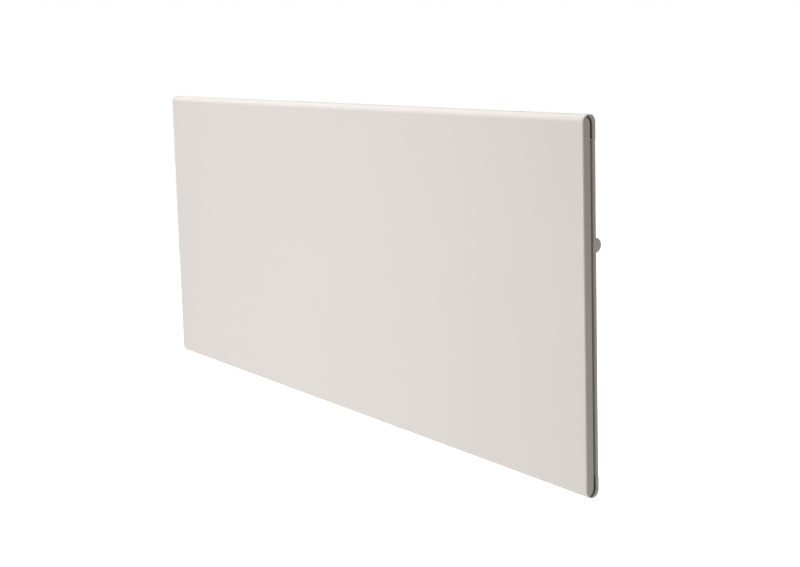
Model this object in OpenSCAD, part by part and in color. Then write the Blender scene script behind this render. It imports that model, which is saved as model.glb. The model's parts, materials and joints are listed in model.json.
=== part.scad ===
// Wall-hung electric convector heater.
// A slim white front cover hides a steel air casing with a finned element, a dial
// thermostat in a side compartment and a wall bracket with four slanted hooks.
// X runs along the width, -Y faces the room, the wall is the plane Y = 0 and Z is up.
// The origin is the centre of the four screw slots of the wall bracket.

/* [Front cover] */
// Width of the front cover
panel_w = 875; // [860:5:950]
// Height of the front cover
panel_h = 400; // [390:5:440]
// Thickness of the front slab at its edge
panel_t = 18; // [17.5:0.5:22]
// Thickness of the sheet of the front cover
sheet_t = 1; // [0.8:0.1:1.4]
// Thickness of the sheet of the back panel and the stiffeners
back_t = 0.8; // [0.7:0.1:1.2]
// Outer radius of the rolled top and bottom edges
roll_r = 8; // [7:0.5:8.5]
// Outer radius of the upright side folds
bend_r = 2; // [1.8:0.1:3]
// Depth of the folded side flange
side_flange_d = 10.2; // [9.6:0.2:11]
// Radius of the rear corners of the side flange
side_flange_r = 7; // [5:0.5:8]
// Gap from the top of the cover to the end of the side flange
side_flange_gap = 2.6; // [2.2:0.1:3.2]
// Width of the shadow groove behind the side flange
groove_w = 3.6; // [2.8:0.1:4]
// Height of the lip rolled over at the top of the rear
top_lip_h = 26; // [24:1:30]
// Height of the lip rolled over at the bottom of the rear
bottom_lip_h = 21; // [20:1:26]
// Distance from the middle of the cover to each stiffener
stiffener_x = 200; // [150:10:260]
// Width of a stiffener across its web
stiffener_w = 40; // [30:2:60]
// Distance from each side of the cover to its outermost screws
cover_screw_margin = 70; // [50:5:100]

/* [Air casing] */
// Depth of the air casing behind the slab
casing_d = 44; // [43:0.5:50]
// Thickness of the sheet of the casing, the grilles and the partition
casing_t = 0.8; // [0.7:0.1:1.2]
// Distance from the side of the cover to the side wall of the casing
casing_inset = 43; // [41:1:50]
// Distance from the top of the cover to the top of the casing
casing_top_gap = 34; // [32:1:44]
// Distance from the bottom of the cover to the bottom of the casing
casing_bottom_gap = 28; // [26:1:34]
// Width of the screwed flange of the casing
casing_flange_w = 14; // [12:1:18]
// Outer bend radius of the casing
casing_r = 3; // [2:0.5:4]
// Width of one air slot
slot_w = 4.2; // [3:0.2:5]
// Distance from one air slot to the next
slot_pitch = 9; // [8:0.5:12]
// Depth of the folded lips of the grilles
grille_lip = 9; // [8:0.5:11]
// Width of the electrical compartment
compartment_w = 76; // [74:1:84]

/* [Heating element] */
// Outer diameter of the heating tube
element_tube_d = 8; // [6.5:0.5:9]
// Distance between the two legs of the tube
element_leg_pitch = 30; // [24:1:34]
// Distance from the left wall of the casing to the first fin
element_left_gap = 92; // [80:2:110]
// Distance from the last fin to the partition
element_right_gap = 70; // [66:1:90]
// Height of the element above the bottom of the casing
element_rise = 62; // [56:1:70]
// Depth of a fin
fin_d = 28; // [22:1:30]
// Height of a fin
fin_h = 64; // [56:1:68]
// Thickness of a fin
fin_t = 0.6; // [0.5:0.1:1]
// Distance from one fin to the next
fin_pitch = 9; // [7:0.5:14]
// Thickness of the heat reflector
reflector_t = 0.6; // [0.5:0.1:1]
// Height of the heat reflector
reflector_h = 130; // [110:5:140]

/* [Thermostat and knob] */
// Distance from the rear face of the slab back to the knob axis
knob_back = 22.2; // [21:0.2:23]
// Height of the knob axis above the middle of the cover
knob_z = 60; // [40:1:80]
// Diameter of the knob grip
knob_d = 16.5; // [14:0.5:20]
// Diameter of the knob skirt
knob_skirt_d = 24; // [22:0.5:27]
// Distance from the casing wall to the end of the knob
knob_reach = 21.5; // [20:0.5:26]
// Diameter of the dial ring
dial_d = 33; // [29:0.5:36]
// Thickness of the dial ring
dial_t = 1.2; // [0.8:0.1:1.6]
// Diameter of the spindle
spindle_d = 6; // [5:0.25:6.5]
// Smallest radius of the setting cam
cam_r = 5.5; // [4.5:0.25:6]
// Rise of the setting cam over the full turn of the knob
cam_rise = 3; // [2:0.25:3]
// Turn of the knob from frost guard to full heat, in degrees
knob_turn = 270; // [270:1:270]

/* [Wiring] */
// Outer diameter of an insulated lead
lead_d = 2.8; // [2:0.2:3.2]
// Diameter of the cable that the gland takes
cable_d = 8.5; // [6.5:0.5:9]
// Diameter of the gland thread
gland_d = 16; // [15:0.5:18]

/* [Wall bracket] */
// Distance from the wall to the casing
wall_gap = 22; // [20:0.5:26]
// Thickness of the sheet of the bracket
bracket_t = 1.5; // [1.2:0.1:2]
// Distance from the middle to each upright rail
rail_x = 240; // [200:10:260]
// Width of the web of a rail
rail_w = 32; // [28:1:40]
// Height of a rail
rail_h = 300; // [280:5:310]
// Height of the upper hooks above the middle of the cover
upper_hook_z = 95; // [85:1:98]
// Depth of the lower hooks below the middle of the cover
lower_hook_z = 115; // [105:1:120]
// Width of a hook
hook_w = 18; // [14:1:22]
// Length of a hook
hook_len = 13; // [11:0.5:14]
// Thickness of the rubber pads on the rails
pad_t = 1.5; // [1:0.1:2.5]
// Height of a crossbar
crossbar_h = 24; // [20:1:30]
// Distance between the screw slots along the wall
screw_spacing_x = 300; // [240:10:340]
// Distance between the screw slots up the wall
screw_spacing_z = 160; // [140:5:180]
// Width of a screw slot
screw_slot_d = 5.5; // [4.5:0.25:6.5]
// Length of a screw slot from end to end
screw_slot_l = 12; // [10:0.5:16]

/* [Hidden] */
$fn = 48;

// Clearance between seated sheets
fit = 0.15;
// Radial clearance between a shaft and its bore
running = 0.05;
// Clearance between the lips and the back panel
seam = 0.3;
// Clearance between a hook and its slot
hook_clear = 0.3;
// Clearance of a hole round a part that only passes through it
hole_clear = 0.2;
// Overhang of a cut past the face that it cuts
over = 1;

// Planes from the wall to the room
y_casing = -wall_gap;
y_slab = y_casing - casing_d;
y_front = y_slab - panel_t;
y_inner = y_casing - casing_t;
half_w = panel_w / 2;
z_top = panel_h / 2;
z_bottom = -panel_h / 2;
casing_x = half_w - casing_inset;
casing_top = z_top - casing_top_gap;
casing_bottom = z_bottom + casing_bottom_gap;
partition_x = casing_x - compartment_w;

// Folded edges of the slab
opening_d = side_flange_d + groove_w;
rim_t = sheet_t + 0.2;
opening_r = side_flange_r + 2;
groove_start = 0.7 * roll_r;
panel_z_top = z_top - top_lip_h - seam;
panel_z_bottom = z_bottom + bottom_lip_h + seam;
lip_z_top = z_top - top_lip_h;
lip_z_bottom = z_bottom + bottom_lip_h;

// The back panel's joggled tongues and its nested side flanges
tongue_z_top = z_top - roll_r - 1;
tongue_z_bottom = z_bottom + roll_r + 1;
tongue_y = y_slab - sheet_t - fit;
tongue_inset = 12;
joggle_h = 3;
nest_step = 3.8;
nest_d = 7;

// Grilles
outlet_z = casing_top - 1 - casing_t;
inlet_z = casing_bottom + 1;
grille_y0 = y_slab + fit;
grille_y1 = y_inner - fit;
grille_x = casing_x - casing_t - fit;
slot_margin = 14;
slot_end = 5;

// Screws
screw_r = 1.45;
screw_head_r = 3.1;
screw_head_h = 1.6;
screw_cross_w = 0.8;
screw_hole_r = screw_r + hole_clear;
screw_l = 6;
lip_screw_d = 7.5;
flange_screw_d = casing_flange_w / 2;
casing_screw_margin = 20;
grille_screw_inset = 80;
function spread(a, b, n) = [for (i = [0:n - 1]) a + i * (b - a) / (n - 1)];
cover_screw_x = spread(-half_w + cover_screw_margin, half_w - cover_screw_margin, 4);
cover_screw_z = [lip_z_top + lip_screw_d, lip_z_bottom - lip_screw_d];
casing_screw_x = [-casing_x - flange_screw_d, casing_x + flange_screw_d];
casing_screw_z = spread(casing_bottom + casing_screw_margin, casing_top - casing_screw_margin, 5);
grille_screw_x = spread(-casing_x + grille_screw_inset, casing_x - grille_screw_inset, 3);
grille_screw_z = [casing_top - 6, casing_bottom + 6];

// Wall bracket
web_y = y_casing + pad_t + 0.2;
web_mid_y = web_y + bracket_t / 2;
rail_bottom = -rail_h / 2 - 3;
hook_reach = (hook_len + bracket_t / 2) / sqrt(2);
hook_tip_y = web_mid_y - hook_reach;
hook_zs = [upper_hook_z, -lower_hook_z];
hook_side_gap = 0.5;
hook_drop = 4;
rail_foot_w = 12;
rivet_x = rail_w / 2 + rail_foot_w / 2;
rivet_r = 2;
rivet_head_h = 1.2;
crossbar_end = 4;
pad_inset = 4;
pad_gap = 6;
pad_h = 20;

// Heating element
reflector_y = hook_tip_y - 1;
reflector_bottom = inlet_z + grille_lip + 4;
element_y = (reflector_y - reflector_t + y_slab) / 2;
element_z = casing_bottom + element_rise;
tube_r = element_tube_d / 2;
leg_zs = [element_z - element_leg_pitch / 2, element_z + element_leg_pitch / 2];
fins_x0 = -casing_x + element_left_gap;
fins_x1 = partition_x - element_right_gap;
fin_n = floor((fins_x1 - fins_x0) / fin_pitch);
bracket_gap = 12;
bracket_left_x = fins_x0 - bracket_gap;
bracket_right_x = fins_x0 + fin_n * fin_pitch + bracket_gap;
bush_r = tube_r + 2;
bush_l = 6;
bush_rim_h = 1.5;
element_foot_w = 12;
element_screw_x = [bracket_left_x - element_foot_w / 2, bracket_right_x + element_foot_w / 2];
element_screw_zs = [element_z - fin_h / 2 - 6, element_z + fin_h / 2 + 6];
element_bracket_margin = 7;
tube_end_x = bracket_right_x + 14;
tube_bend_x = bracket_left_x - 16;
stud_l = 10;
stud_r = 1.5;

// Thermal cut-out
cutout_x = bracket_right_x - 26;
cutout_z = reflector_bottom + reflector_h + 14;
cutout_r = 8;
cutout_h = 7;
shelf_w = 26;
cutout_y = y_inner - 20;
shelf_foot_h = 16;
cutout_rim = 1.2;
tab_x = 4;
tab_h = 6.2;
tab_w = 5;

// Thermostat
knob_y = y_slab + knob_back;
spindle_r = spindle_d / 2;
neck_r = spindle_r + 2;
housing_x1 = casing_x - casing_t - fit;
housing_x0 = housing_x1 - 34;
housing_wall = 2;
housing_half_y = 17;
housing_up = 16;
housing_down = 28;
cover_t = 1.5;
cam_x0 = housing_x0 + 6;
cam_t = 6;
cam_x = cam_x0 + cam_t / 2;
cam_clear = 0.25;
follower_r = 2;
follower_top = knob_z - cam_r - cam_clear;
follower_l = 11.5;
follower_rim = 0.7;
follower_rim_h = 1.2;
web_z = knob_z - 15.5;
leaf_z = follower_top - follower_l - cam_rise - 0.3;
leaf_t = 0.4;
leaf_w = 5;
blade_y = 11;
blade_l = 8;
foot_l = 4;
web_t = 3;
blade_w = 6.3;
blade_t = 0.8;
blade_gap = 0.6;
nut_t = 3;
nut_af = 2 * neck_r + 4;
neck_end = casing_x + dial_t + 4.2;
skirt_gap = 0.6;
skirt_x0 = casing_x + dial_t + skirt_gap;
skirt_l = 5;
knob_end = casing_x + knob_reach;
knob_bevel = 1.5;
spindle_end = knob_end - 5;
flat_x = neck_end + 2;
flat_depth = 1;

// Terminal block, earth stud, gland and grommet
block_x = casing_x - compartment_w / 2;
block_size = [22, 16, 40];
block_y1 = y_inner - fit;
block_z = casing_bottom + 66;
pole_pitch = 12;
pole_x = 5;
pole_r = 2.2;
pole_depth = 9;
terminal_screw_l = 3;
pole_zs = [for (i = [-1:1]) block_z + i * pole_pitch];
earth_z = block_z + block_size[2] / 2 + 18;
earth_r = 2;
earth_washer_t = 1.5;
earth_nut_h = 2.4;
earth_nut_rise = 5;
earth_l = 13;
earth_head = 1;
gland_y = (y_slab + y_inner) / 2;
gland_af = gland_d + 5;
gland_down = 18;
gland_up = 13;
gland_hex_h = 5;
gland_nut_h = 4.5;
gland_cap_wall = 2.2;
gland_cap_h = 3;
gland_colour = [0.16, 0.16, 0.16];
grommet_rise = 20;
grommet_z = element_z + fin_h / 2 + grommet_rise;
grommet_y = element_y;
grommet_r = 8;
grommet_wall = 2;

// Rating plate, left bare
plate_size = [64, 34];
plate_t = 0.4;
plate_x = -330;
plate_z = 20;

// Ends of the leads
lead_r = lead_d / 2;
lead_gap = 0.3;
pole_clear = 0.6;
block_left = block_x - block_size[0] / 2 - lead_gap;
block_right = block_x + block_size[0] / 2 + lead_gap;
pole_y = block_y1 - 6;
blade_bottom = knob_z - housing_down - blade_l;
blade_end = blade_bottom - lead_gap;
stud_x = tube_end_x + fit + stud_l + lead_gap;
tab_top_z = cutout_z + fit + cutout_h + tab_h - 0.1 + lead_gap;
grommet_in = partition_x - casing_t - 12;
grommet_out = partition_x + 12;
lead_spread = 2.8;
lead_rise = 1.5;

// Shapes in the plane of the side view, run along X
module along_x(x0, x1) {
    translate([x0, 0, 0])
        rotate([90, 0, 90])
            linear_extrude(x1 - x0)
                children();
}

// Shapes in the plane of the wall, run along Y
module along_y(y0, y1) {
    translate([0, y1, 0])
        rotate([90, 0, 0])
            linear_extrude(y1 - y0)
                children();
}

module box_between(a, b) {
    translate(a)
        cube(b - a);
}

module rounded_rect(x0, x1, y0, y1, r) {
    translate([x0 + r, y0])
        square([x1 - x0 - 2 * r, y1 - y0]);
    translate([x0, y0 + r])
        square([x1 - x0, y1 - y0 - 2 * r]);
    for (x = [x0 + r, x1 - r], y = [y0 + r, y1 - r])
        translate([x, y])
            circle(r);
}

module slot_2d(l, w) {
    square([l - w, w], center = true);
    for (s = [-1, 1])
        translate([s * (l - w) / 2, 0])
            circle(w / 2);
}

module x_hole(x, y, z, r, l) {
    translate([x, y, z])
        rotate([0, 90, 0])
            cylinder(r = r, h = l, center = true);
}

module y_hole(x, y, z, r, l) {
    translate([x, y, z])
        rotate([90, 0, 0])
            cylinder(r = r, h = l, center = true);
}

// Pan-head screw: the underside of its head lies at y and it runs towards -Y
module y_screw(x, y, z, l) {
    difference() {
        union() {
            y_hole(x, y - l / 2, z, screw_r, l);
            y_hole(x, y + screw_head_h / 2, z, screw_head_r, screw_head_h);
        }
        for (a = [0, 90])
            translate([x, y + screw_head_h, z])
                rotate([0, a, 0])
                    cube([screw_head_r * 1.2, screw_head_h, screw_cross_w], center = true);
    }
}

function unit(v) = v / norm(v);

// Points of a rounded corner at q, between its neighbours p and s
function corner(p, q, s, r, n) =
    let (a = q + unit(p - q) * min(r, norm(p - q) / 2),
         b = q + unit(s - q) * min(r, norm(s - q) / 2))
    [for (i = [0:n]) let (u = i / n) (1 - u) * (1 - u) * a + 2 * u * (1 - u) * q + u * u * b];

function rounded_path(pts, r, n) = concat(
    [pts[0]],
    [for (i = [1:len(pts) - 2]) each corner(pts[i - 1], pts[i], pts[i + 1], r, n)],
    [pts[len(pts) - 1]]);

// No stretch of a lead runs along this direction, so a ring never twists
lead_side = unit([0.31, 0.52, 0.79]);

function ring(path, i, r, sides) =
    let (t = unit(path[min(i + 1, len(path) - 1)] - path[max(i - 1, 0)]),
         n = unit(cross(t, lead_side)),
         b = cross(t, n))
    [for (k = [0:sides - 1]) path[i] + r * (cos(360 * k / sides) * n + sin(360 * k / sides) * b)];

module lead(pts) {
    sides = 8;
    path = rounded_path(pts, 6, 4);
    m = len(path);
    last = (m - 1) * sides;
    walls = [for (i = [0:m - 2], k = [0:sides - 1])
        let (a = i * sides + k, b = i * sides + (k + 1) % sides)
        each [[a, a + sides, b + sides], [a, b + sides, b]]];
    caps = [for (k = [1:sides - 2])
        each [[0, k, k + 1], [last, last + k + 1, last + k]]];
    polyhedron([for (i = [0:m - 1]) each ring(path, i, lead_d / 2, sides)], concat(walls, caps));
}

// Outline of the slab seen from the side, drawn inwards by inset
module slab_outline(inset) {
    rounded_rect(y_front + inset, y_slab - inset, z_bottom + inset, z_top - inset, roll_r - inset);
}

// Plan of the slab with its folded front edges, drawn inwards by inset
module slab_plan(inset) {
    rounded_rect(-half_w + inset, half_w - inset, y_front + inset, y_slab + 2 * bend_r,
                 bend_r - inset);
}

module slab(inset) {
    intersection() {
        along_x(-half_w - over, half_w + over)
            slab_outline(inset);
        translate([0, 0, z_bottom - over])
            linear_extrude(panel_h + 2 * over)
                slab_plan(inset);
    }
}

// A rounded shape that starts at the front face and ends at depth d
module end_shape(d, gap, r) {
    rounded_rect(y_front - 3 * r, y_front + d, z_bottom + gap, z_top - gap, r);
}

// The shadow groove that runs round the side flange
module groove_outline() {
    difference() {
        end_shape(opening_d, rim_t, opening_r);
        end_shape(side_flange_d, side_flange_gap, side_flange_r);
        translate([y_front - over, z_bottom])
            square([groove_start + over, panel_h]);
    }
}

module front_cover() {
    color("whitesmoke")
        difference() {
            slab(0);
            slab(sheet_t);
            for (s = [-1, 1])
                along_x(s * half_w - 2 * bend_r, s * half_w + 2 * bend_r)
                    groove_outline();
            box_between([-half_w - over, y_front + opening_d, lip_z_bottom],
                        [half_w + over, y_slab + over, lip_z_top]);
            for (x = cover_screw_x, z = cover_screw_z)
                y_hole(x, y_slab, z, screw_hole_r, 4);
        }
}

module back_panel() {
    t = back_t;
    nest_x = half_w - nest_step;
    strip_y = y_front + opening_d;
    tongue_x = half_w - tongue_inset;
    z0 = panel_z_bottom;
    z1 = panel_z_top;
    color("gainsboro")
        difference() {
            union() {
                box_between([-half_w, y_slab - t, z0], [half_w, y_slab, z1]);
                for (s = [0, 1])
                    mirror([s, 0, 0]) {
                        box_between([half_w - t, strip_y, z0], [half_w, y_slab, z1]);
                        box_between([nest_x - t, strip_y, z0], [half_w, strip_y + t, z1]);
                        box_between([nest_x - t, strip_y - nest_d, z0], [nest_x, strip_y + t, z1]);
                    }
                for (z = [[z1 - joggle_h, tongue_z_top], [tongue_z_bottom, z0 + joggle_h]])
                    box_between([-tongue_x, tongue_y - t, z[0]], [tongue_x, tongue_y, z[1]]);
                for (z = [z1 - joggle_h, z0])
                    box_between([-tongue_x, tongue_y - t, z], [tongue_x, y_slab, z + joggle_h]);
            }
            for (x = cover_screw_x, z = cover_screw_z)
                y_hole(x, tongue_y, z, screw_r + running, 4);
            for (x = casing_screw_x, z = casing_screw_z)
                y_hole(x, y_slab, z, screw_r + running, 4);
        }
}

// An upright channel between the front sheet and the back panel
module stiffener(x) {
    t = back_t;
    y0 = y_front + sheet_t + fit;
    y1 = y_slab - back_t - fit;
    end_gap = 10;
    z0 = panel_z_bottom + end_gap;
    z1 = panel_z_top - end_gap;
    half = stiffener_w / 2;
    foot_w = 10;
    color("silver") {
        box_between([x - half, y0, z0], [x + half, y0 + t, z1]);
        for (s = [0, 1])
            translate([x, 0, 0])
                mirror([s, 0, 0]) {
                    box_between([half - t, y0, z0], [half, y1, z1]);
                    box_between([half - t, y1 - t, z0], [half + foot_w, y1, z1]);
                }
    }
}

module stiffener_left() { stiffener(-stiffener_x); }

module stiffener_right() { stiffener(stiffener_x); }

module cover_screws() {
    color("silver")
        for (x = cover_screw_x, z = cover_screw_z)
            y_screw(x, y_slab, z, screw_l);
}

// Plan of the casing: a tray with a flange at each side
module casing_plan() {
    difference() {
        union() {
            rounded_rect(-casing_x, casing_x, y_slab - 2 * casing_r, y_casing, casing_r);
            translate([-casing_x - casing_flange_w, y_slab])
                square([2 * (casing_x + casing_flange_w), casing_t + fit]);
        }
        rounded_rect(-casing_x + casing_t, casing_x - casing_t, y_slab - 3 * casing_r, y_inner,
                     casing_r - casing_t);
        translate([-half_w, y_slab - panel_t])
            square([panel_w, panel_t + fit]);
    }
}

module rear_casing() {
    hook_half = (bracket_t + 2 * hook_clear) / sqrt(2);
    slot_low = web_mid_y - y_casing - hook_half - hook_drop;
    slot_high = web_mid_y - y_inner + hook_half;
    color("gainsboro")
        difference() {
            translate([0, 0, casing_bottom])
                linear_extrude(casing_top - casing_bottom)
                    casing_plan();
            for (s = [-1, 1], z = hook_zs)
                box_between([s * rail_x - hook_w / 2 - hook_side_gap, y_inner - over, z + slot_low],
                            [s * rail_x + hook_w / 2 + hook_side_gap, y_casing + over, z + slot_high]);
            x_hole(casing_x, knob_y, knob_z, neck_r + hole_clear, 4);
            for (x = casing_screw_x, z = casing_screw_z)
                y_hole(x, y_slab, z, screw_hole_r, 4);
            for (x = grille_screw_x, z = grille_screw_z)
                y_hole(x, y_casing, z, screw_hole_r, 4);
            for (x = element_screw_x, z = element_screw_zs)
                y_hole(x, y_casing, z, screw_hole_r, 4);
            y_hole(block_x, y_casing, earth_z, earth_r + running, 4);
        }
}

module casing_screws() {
    color("silver")
        for (x = casing_screw_x, z = casing_screw_z)
            y_screw(x, y_slab + fit + casing_t, z, screw_l);
}

// One grille: a slotted plate whose long edges are folded; up is 1 or -1
module grille(z_plate, up, slots_x0, slots_x1) {
    n = floor((slots_x1 - slots_x0) / slot_pitch);
    slot_l = grille_y1 - grille_y0 - 2 * slot_end;
    lip_x = casing_x - casing_r;
    lip_z = up > 0 ? z_plate + casing_t - grille_lip : z_plate;
    difference() {
        union() {
            translate([0, 0, z_plate])
                linear_extrude(casing_t)
                    difference() {
                        rounded_rect(-grille_x, grille_x, grille_y0, grille_y1, casing_r);
                        for (i = [0:n])
                            translate([slots_x0 + i * slot_pitch, (grille_y0 + grille_y1) / 2])
                                rotate(90)
                                    slot_2d(slot_l, slot_w);
                    }
            for (y = [grille_y0, grille_y1 - casing_t])
                box_between([-lip_x, y, lip_z], [lip_x, y + casing_t, lip_z + grille_lip]);
        }
        for (x = grille_screw_x, z = grille_screw_z)
            y_hole(x, grille_y1, z, screw_r + running, 4);
    }
}

module outlet_grille() {
    color("gainsboro")
        grille(outlet_z, 1, -casing_x + slot_margin, casing_x - slot_margin);
}

module inlet_grille() {
    color("gainsboro")
        difference() {
            grille(inlet_z, -1, -casing_x + slot_margin, partition_x - slot_margin);
            translate([block_x, gland_y, inlet_z])
                cylinder(r = gland_d / 2 + hole_clear, h = 4, center = true);
        }
}

module grille_screws() {
    color("silver")
        for (x = grille_screw_x, z = grille_screw_z)
            y_screw(x, y_casing, z, screw_l);
}

module partition() {
    end_gap = 2;
    z0 = inlet_z + grille_lip + end_gap;
    z1 = outlet_z - grille_lip - end_gap;
    x0 = partition_x - casing_t;
    foot_w = 12;
    color("lightgray")
        difference() {
            union() {
                box_between([x0, grille_y0, z0], [partition_x, grille_y1, z1]);
                box_between([x0, grille_y1 - casing_t, z0], [partition_x + foot_w, grille_y1, z1]);
            }
            x_hole(partition_x, grommet_y, grommet_z, grommet_r + running, 4);
        }
}

module lead_grommet() {
    x = partition_x - casing_t / 2;
    rim_x = casing_t / 2 + hole_clear + grommet_wall / 2;
    color([0.12, 0.12, 0.12])
        difference() {
            union() {
                x_hole(x, grommet_y, grommet_z, grommet_r, 2 * rim_x);
                for (s = [-1, 1])
                    x_hole(x + s * rim_x, grommet_y, grommet_z, grommet_r + grommet_wall,
                           grommet_wall);
            }
            x_hole(x, grommet_y, grommet_z, grommet_r - grommet_wall, 20);
        }
}

module reflector() {
    end_gap = 2;
    x0 = bracket_left_x + end_gap;
    x1 = bracket_right_x - end_gap;
    z0 = reflector_bottom;
    z1 = reflector_bottom + reflector_h;
    color("silver") {
        box_between([x0, reflector_y - reflector_t, z0], [x1, reflector_y, z1]);
        for (z = [z0, z1 - reflector_t])
            box_between([x0, reflector_y - reflector_t, z], [x1, y_inner - fit, z + reflector_t]);
    }
}

module heating_tube() {
    color("dimgray")
        union() {
            for (z = leg_zs)
                x_hole((tube_bend_x + tube_end_x) / 2, element_y, z, tube_r,
                       tube_end_x - tube_bend_x);
            translate([tube_bend_x, element_y, element_z])
                rotate([90, 0, 0])
                    rotate([0, 0, 90])
                        rotate_extrude(angle = 180)
                            translate([element_leg_pitch / 2, 0])
                                circle(tube_r);
        }
}

module heating_fins() {
    color("silver")
        for (i = [0:fin_n])
            along_x(fins_x0 + i * fin_pitch - fin_t / 2, fins_x0 + i * fin_pitch + fin_t / 2)
                difference() {
                    translate([element_y, element_z])
                        square([fin_d, fin_h], center = true);
                    for (z = leg_zs)
                        translate([element_y, z])
                            circle(tube_r + running);
                }
}

// Sheet bracket that carries one end of the element; side is 1 or -1
module element_bracket(x, side) {
    z0 = element_screw_zs[0] - element_bracket_margin;
    z1 = element_screw_zs[1] + element_bracket_margin;
    y1 = grille_y1;
    color("silver")
        difference() {
            translate([x, 0, 0])
                mirror([side > 0 ? 0 : 1, 0, 0]) {
                    box_between([-casing_t / 2, element_y - fin_d / 2, z0], [casing_t / 2, y1, z1]);
                    box_between([-casing_t / 2, y1 - casing_t, z0], [element_foot_w, y1, z1]);
                }
            for (z = leg_zs)
                x_hole(x, element_y, z, bush_r + running, 4);
            for (z = element_screw_zs)
                y_hole(x + side * element_foot_w / 2, y1, z, screw_r + running, 4);
        }
}

module element_bracket_left() { element_bracket(bracket_left_x, -1); }

module element_bracket_right() { element_bracket(bracket_right_x, 1); }

module element_screws() {
    color("silver")
        for (x = element_screw_x, z = element_screw_zs)
            y_screw(x, y_casing, z, screw_l);
}

module ceramic_bushes() {
    color("ivory")
        for (x = [bracket_left_x, bracket_right_x], z = leg_zs)
            difference() {
                union() {
                    x_hole(x, element_y, z, bush_r, bush_l);
                    for (s = [-1, 1])
                        x_hole(x + s * (casing_t / 2 + hole_clear + bush_rim_h / 2), element_y, z,
                               bush_r + bush_rim_h, bush_rim_h);
                }
                x_hole(x, element_y, z, tube_r + running, 20);
            }
}

module element_terminals() {
    color("goldenrod")
        for (z = leg_zs) {
            x_hole(tube_end_x + 1 + fit, element_y, z, tube_r - hole_clear, 2);
            x_hole(tube_end_x + fit + stud_l / 2, element_y, z, stud_r, stud_l);
        }
}

module cutout_shelf() {
    y1 = y_inner - fit;
    color("silver")
        difference() {
            union() {
                box_between([cutout_x - shelf_w / 2, cutout_y - shelf_w / 2, cutout_z - casing_t],
                            [cutout_x + shelf_w / 2, y1, cutout_z]);
                box_between([cutout_x - shelf_w / 2, y1 - casing_t, cutout_z - casing_t],
                            [cutout_x + shelf_w / 2, y1, cutout_z + shelf_foot_h]);
            }
            translate([cutout_x, cutout_y, cutout_z])
                cylinder(r = cutout_r - 2 * cutout_rim, h = 4, center = true);
        }
}

module thermal_cutout() {
    color([0.15, 0.15, 0.17])
        translate([cutout_x, cutout_y, cutout_z + fit]) {
            cylinder(r = cutout_r, h = cutout_h);
            cylinder(r = cutout_r + cutout_rim, h = cutout_rim);
        }
    color("goldenrod")
        for (s = [-1, 1])
            translate([cutout_x + s * tab_x, cutout_y, cutout_z + fit + cutout_h + tab_h / 2 - 0.1])
                cube([blade_t, tab_w, tab_h], center = true);
}

module thermostat_housing() {
    w = housing_wall;
    y0 = knob_y - housing_half_y;
    y1 = knob_y + housing_half_y;
    z0 = knob_z - housing_down;
    z1 = knob_z + housing_up;
    color("beige")
        difference() {
            union() {
                difference() {
                    box_between([housing_x0, y0, z0], [housing_x1, y1, z1]);
                    box_between([housing_x0 - over, y0 + w, z0 + w],
                                [housing_x1 - w, y1 - w, z1 - w]);
                }
                box_between([housing_x0, y0 + w / 2, web_z],
                            [housing_x1 - w / 2, y1 - w / 2, web_z + web_t]);
                x_hole((housing_x1 - w / 2 + neck_end) / 2, knob_y, knob_z, neck_r,
                       neck_end - housing_x1 + w / 2);
            }
            x_hole(housing_x1, knob_y, knob_z, spindle_r + running, 60);
            translate([cam_x, knob_y, web_z])
                cylinder(r = follower_r + running, h = 20, center = true);
            for (s = [-1, 1])
                translate([cam_x, knob_y + s * blade_y, z0])
                    cube([blade_w + hole_clear, blade_t + hole_clear, 3 * w], center = true);
        }
}

module thermostat_cover() {
    y0 = knob_y - housing_half_y;
    y1 = knob_y + housing_half_y;
    color("beige")
        difference() {
            box_between([housing_x0 - fit - cover_t, y0, knob_z - housing_down],
                        [housing_x0 - fit, y1, knob_z + housing_up]);
            x_hole(housing_x0, knob_y, knob_z, spindle_r + running, 10);
        }
}

// Two blades through the floor of the housing, each with a bent foot under the leaf
module thermostat_contacts() {
    foot_z = [leaf_z - leaf_t - blade_t, leaf_z - leaf_t - blade_gap - blade_t];
    color("goldenrod")
        for (i = [0, 1])
            translate([cam_x, knob_y, 0])
                mirror([0, i == 0 ? 1 : 0, 0])
                    translate([0, blade_y, 0]) {
                        box_between([-blade_w / 2, -blade_t / 2, blade_bottom],
                                    [blade_w / 2, blade_t / 2, foot_z[i] + blade_t]);
                        box_between([-blade_w / 2, -foot_l, foot_z[i]],
                                    [blade_w / 2, blade_t / 2, foot_z[i] + blade_t]);
                    }
}

module contact_leaf() {
    color("darkgoldenrod")
        box_between([cam_x - leaf_w / 2, knob_y - blade_y, leaf_z - leaf_t],
                    [cam_x + leaf_w / 2, knob_y + blade_y, leaf_z]);
}

module thermostat_nut() {
    color("silver")
        difference() {
            translate([casing_x + dial_t + fit, knob_y, knob_z])
                rotate([0, 90, 0])
                    cylinder(r = nut_af / sqrt(3), h = nut_t, $fn = 6);
            x_hole(casing_x, knob_y, knob_z, neck_r + running, 40);
        }
}

module dial_ring() {
    color("white")
        difference() {
            x_hole(casing_x + fit + (dial_t - fit) / 2, knob_y, knob_z, dial_d / 2, dial_t - fit);
            x_hole(casing_x, knob_y, knob_z, neck_r + hole_clear, 20);
        }
}

// What the flat of the spindle takes away, from x on and raised by gap
module spindle_flat(gap, x) {
    box_between([x, knob_y - spindle_d, knob_z + spindle_r - flat_depth + gap],
                [spindle_end + over, knob_y + spindle_d, knob_z + spindle_d]);
}

module thermostat_spindle() {
    x0 = housing_x0 - fit - cover_t;
    color("silver")
        difference() {
            x_hole((x0 + spindle_end) / 2, knob_y, knob_z, spindle_r, spindle_end - x0);
            spindle_flat(0, flat_x);
        }
}

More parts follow.
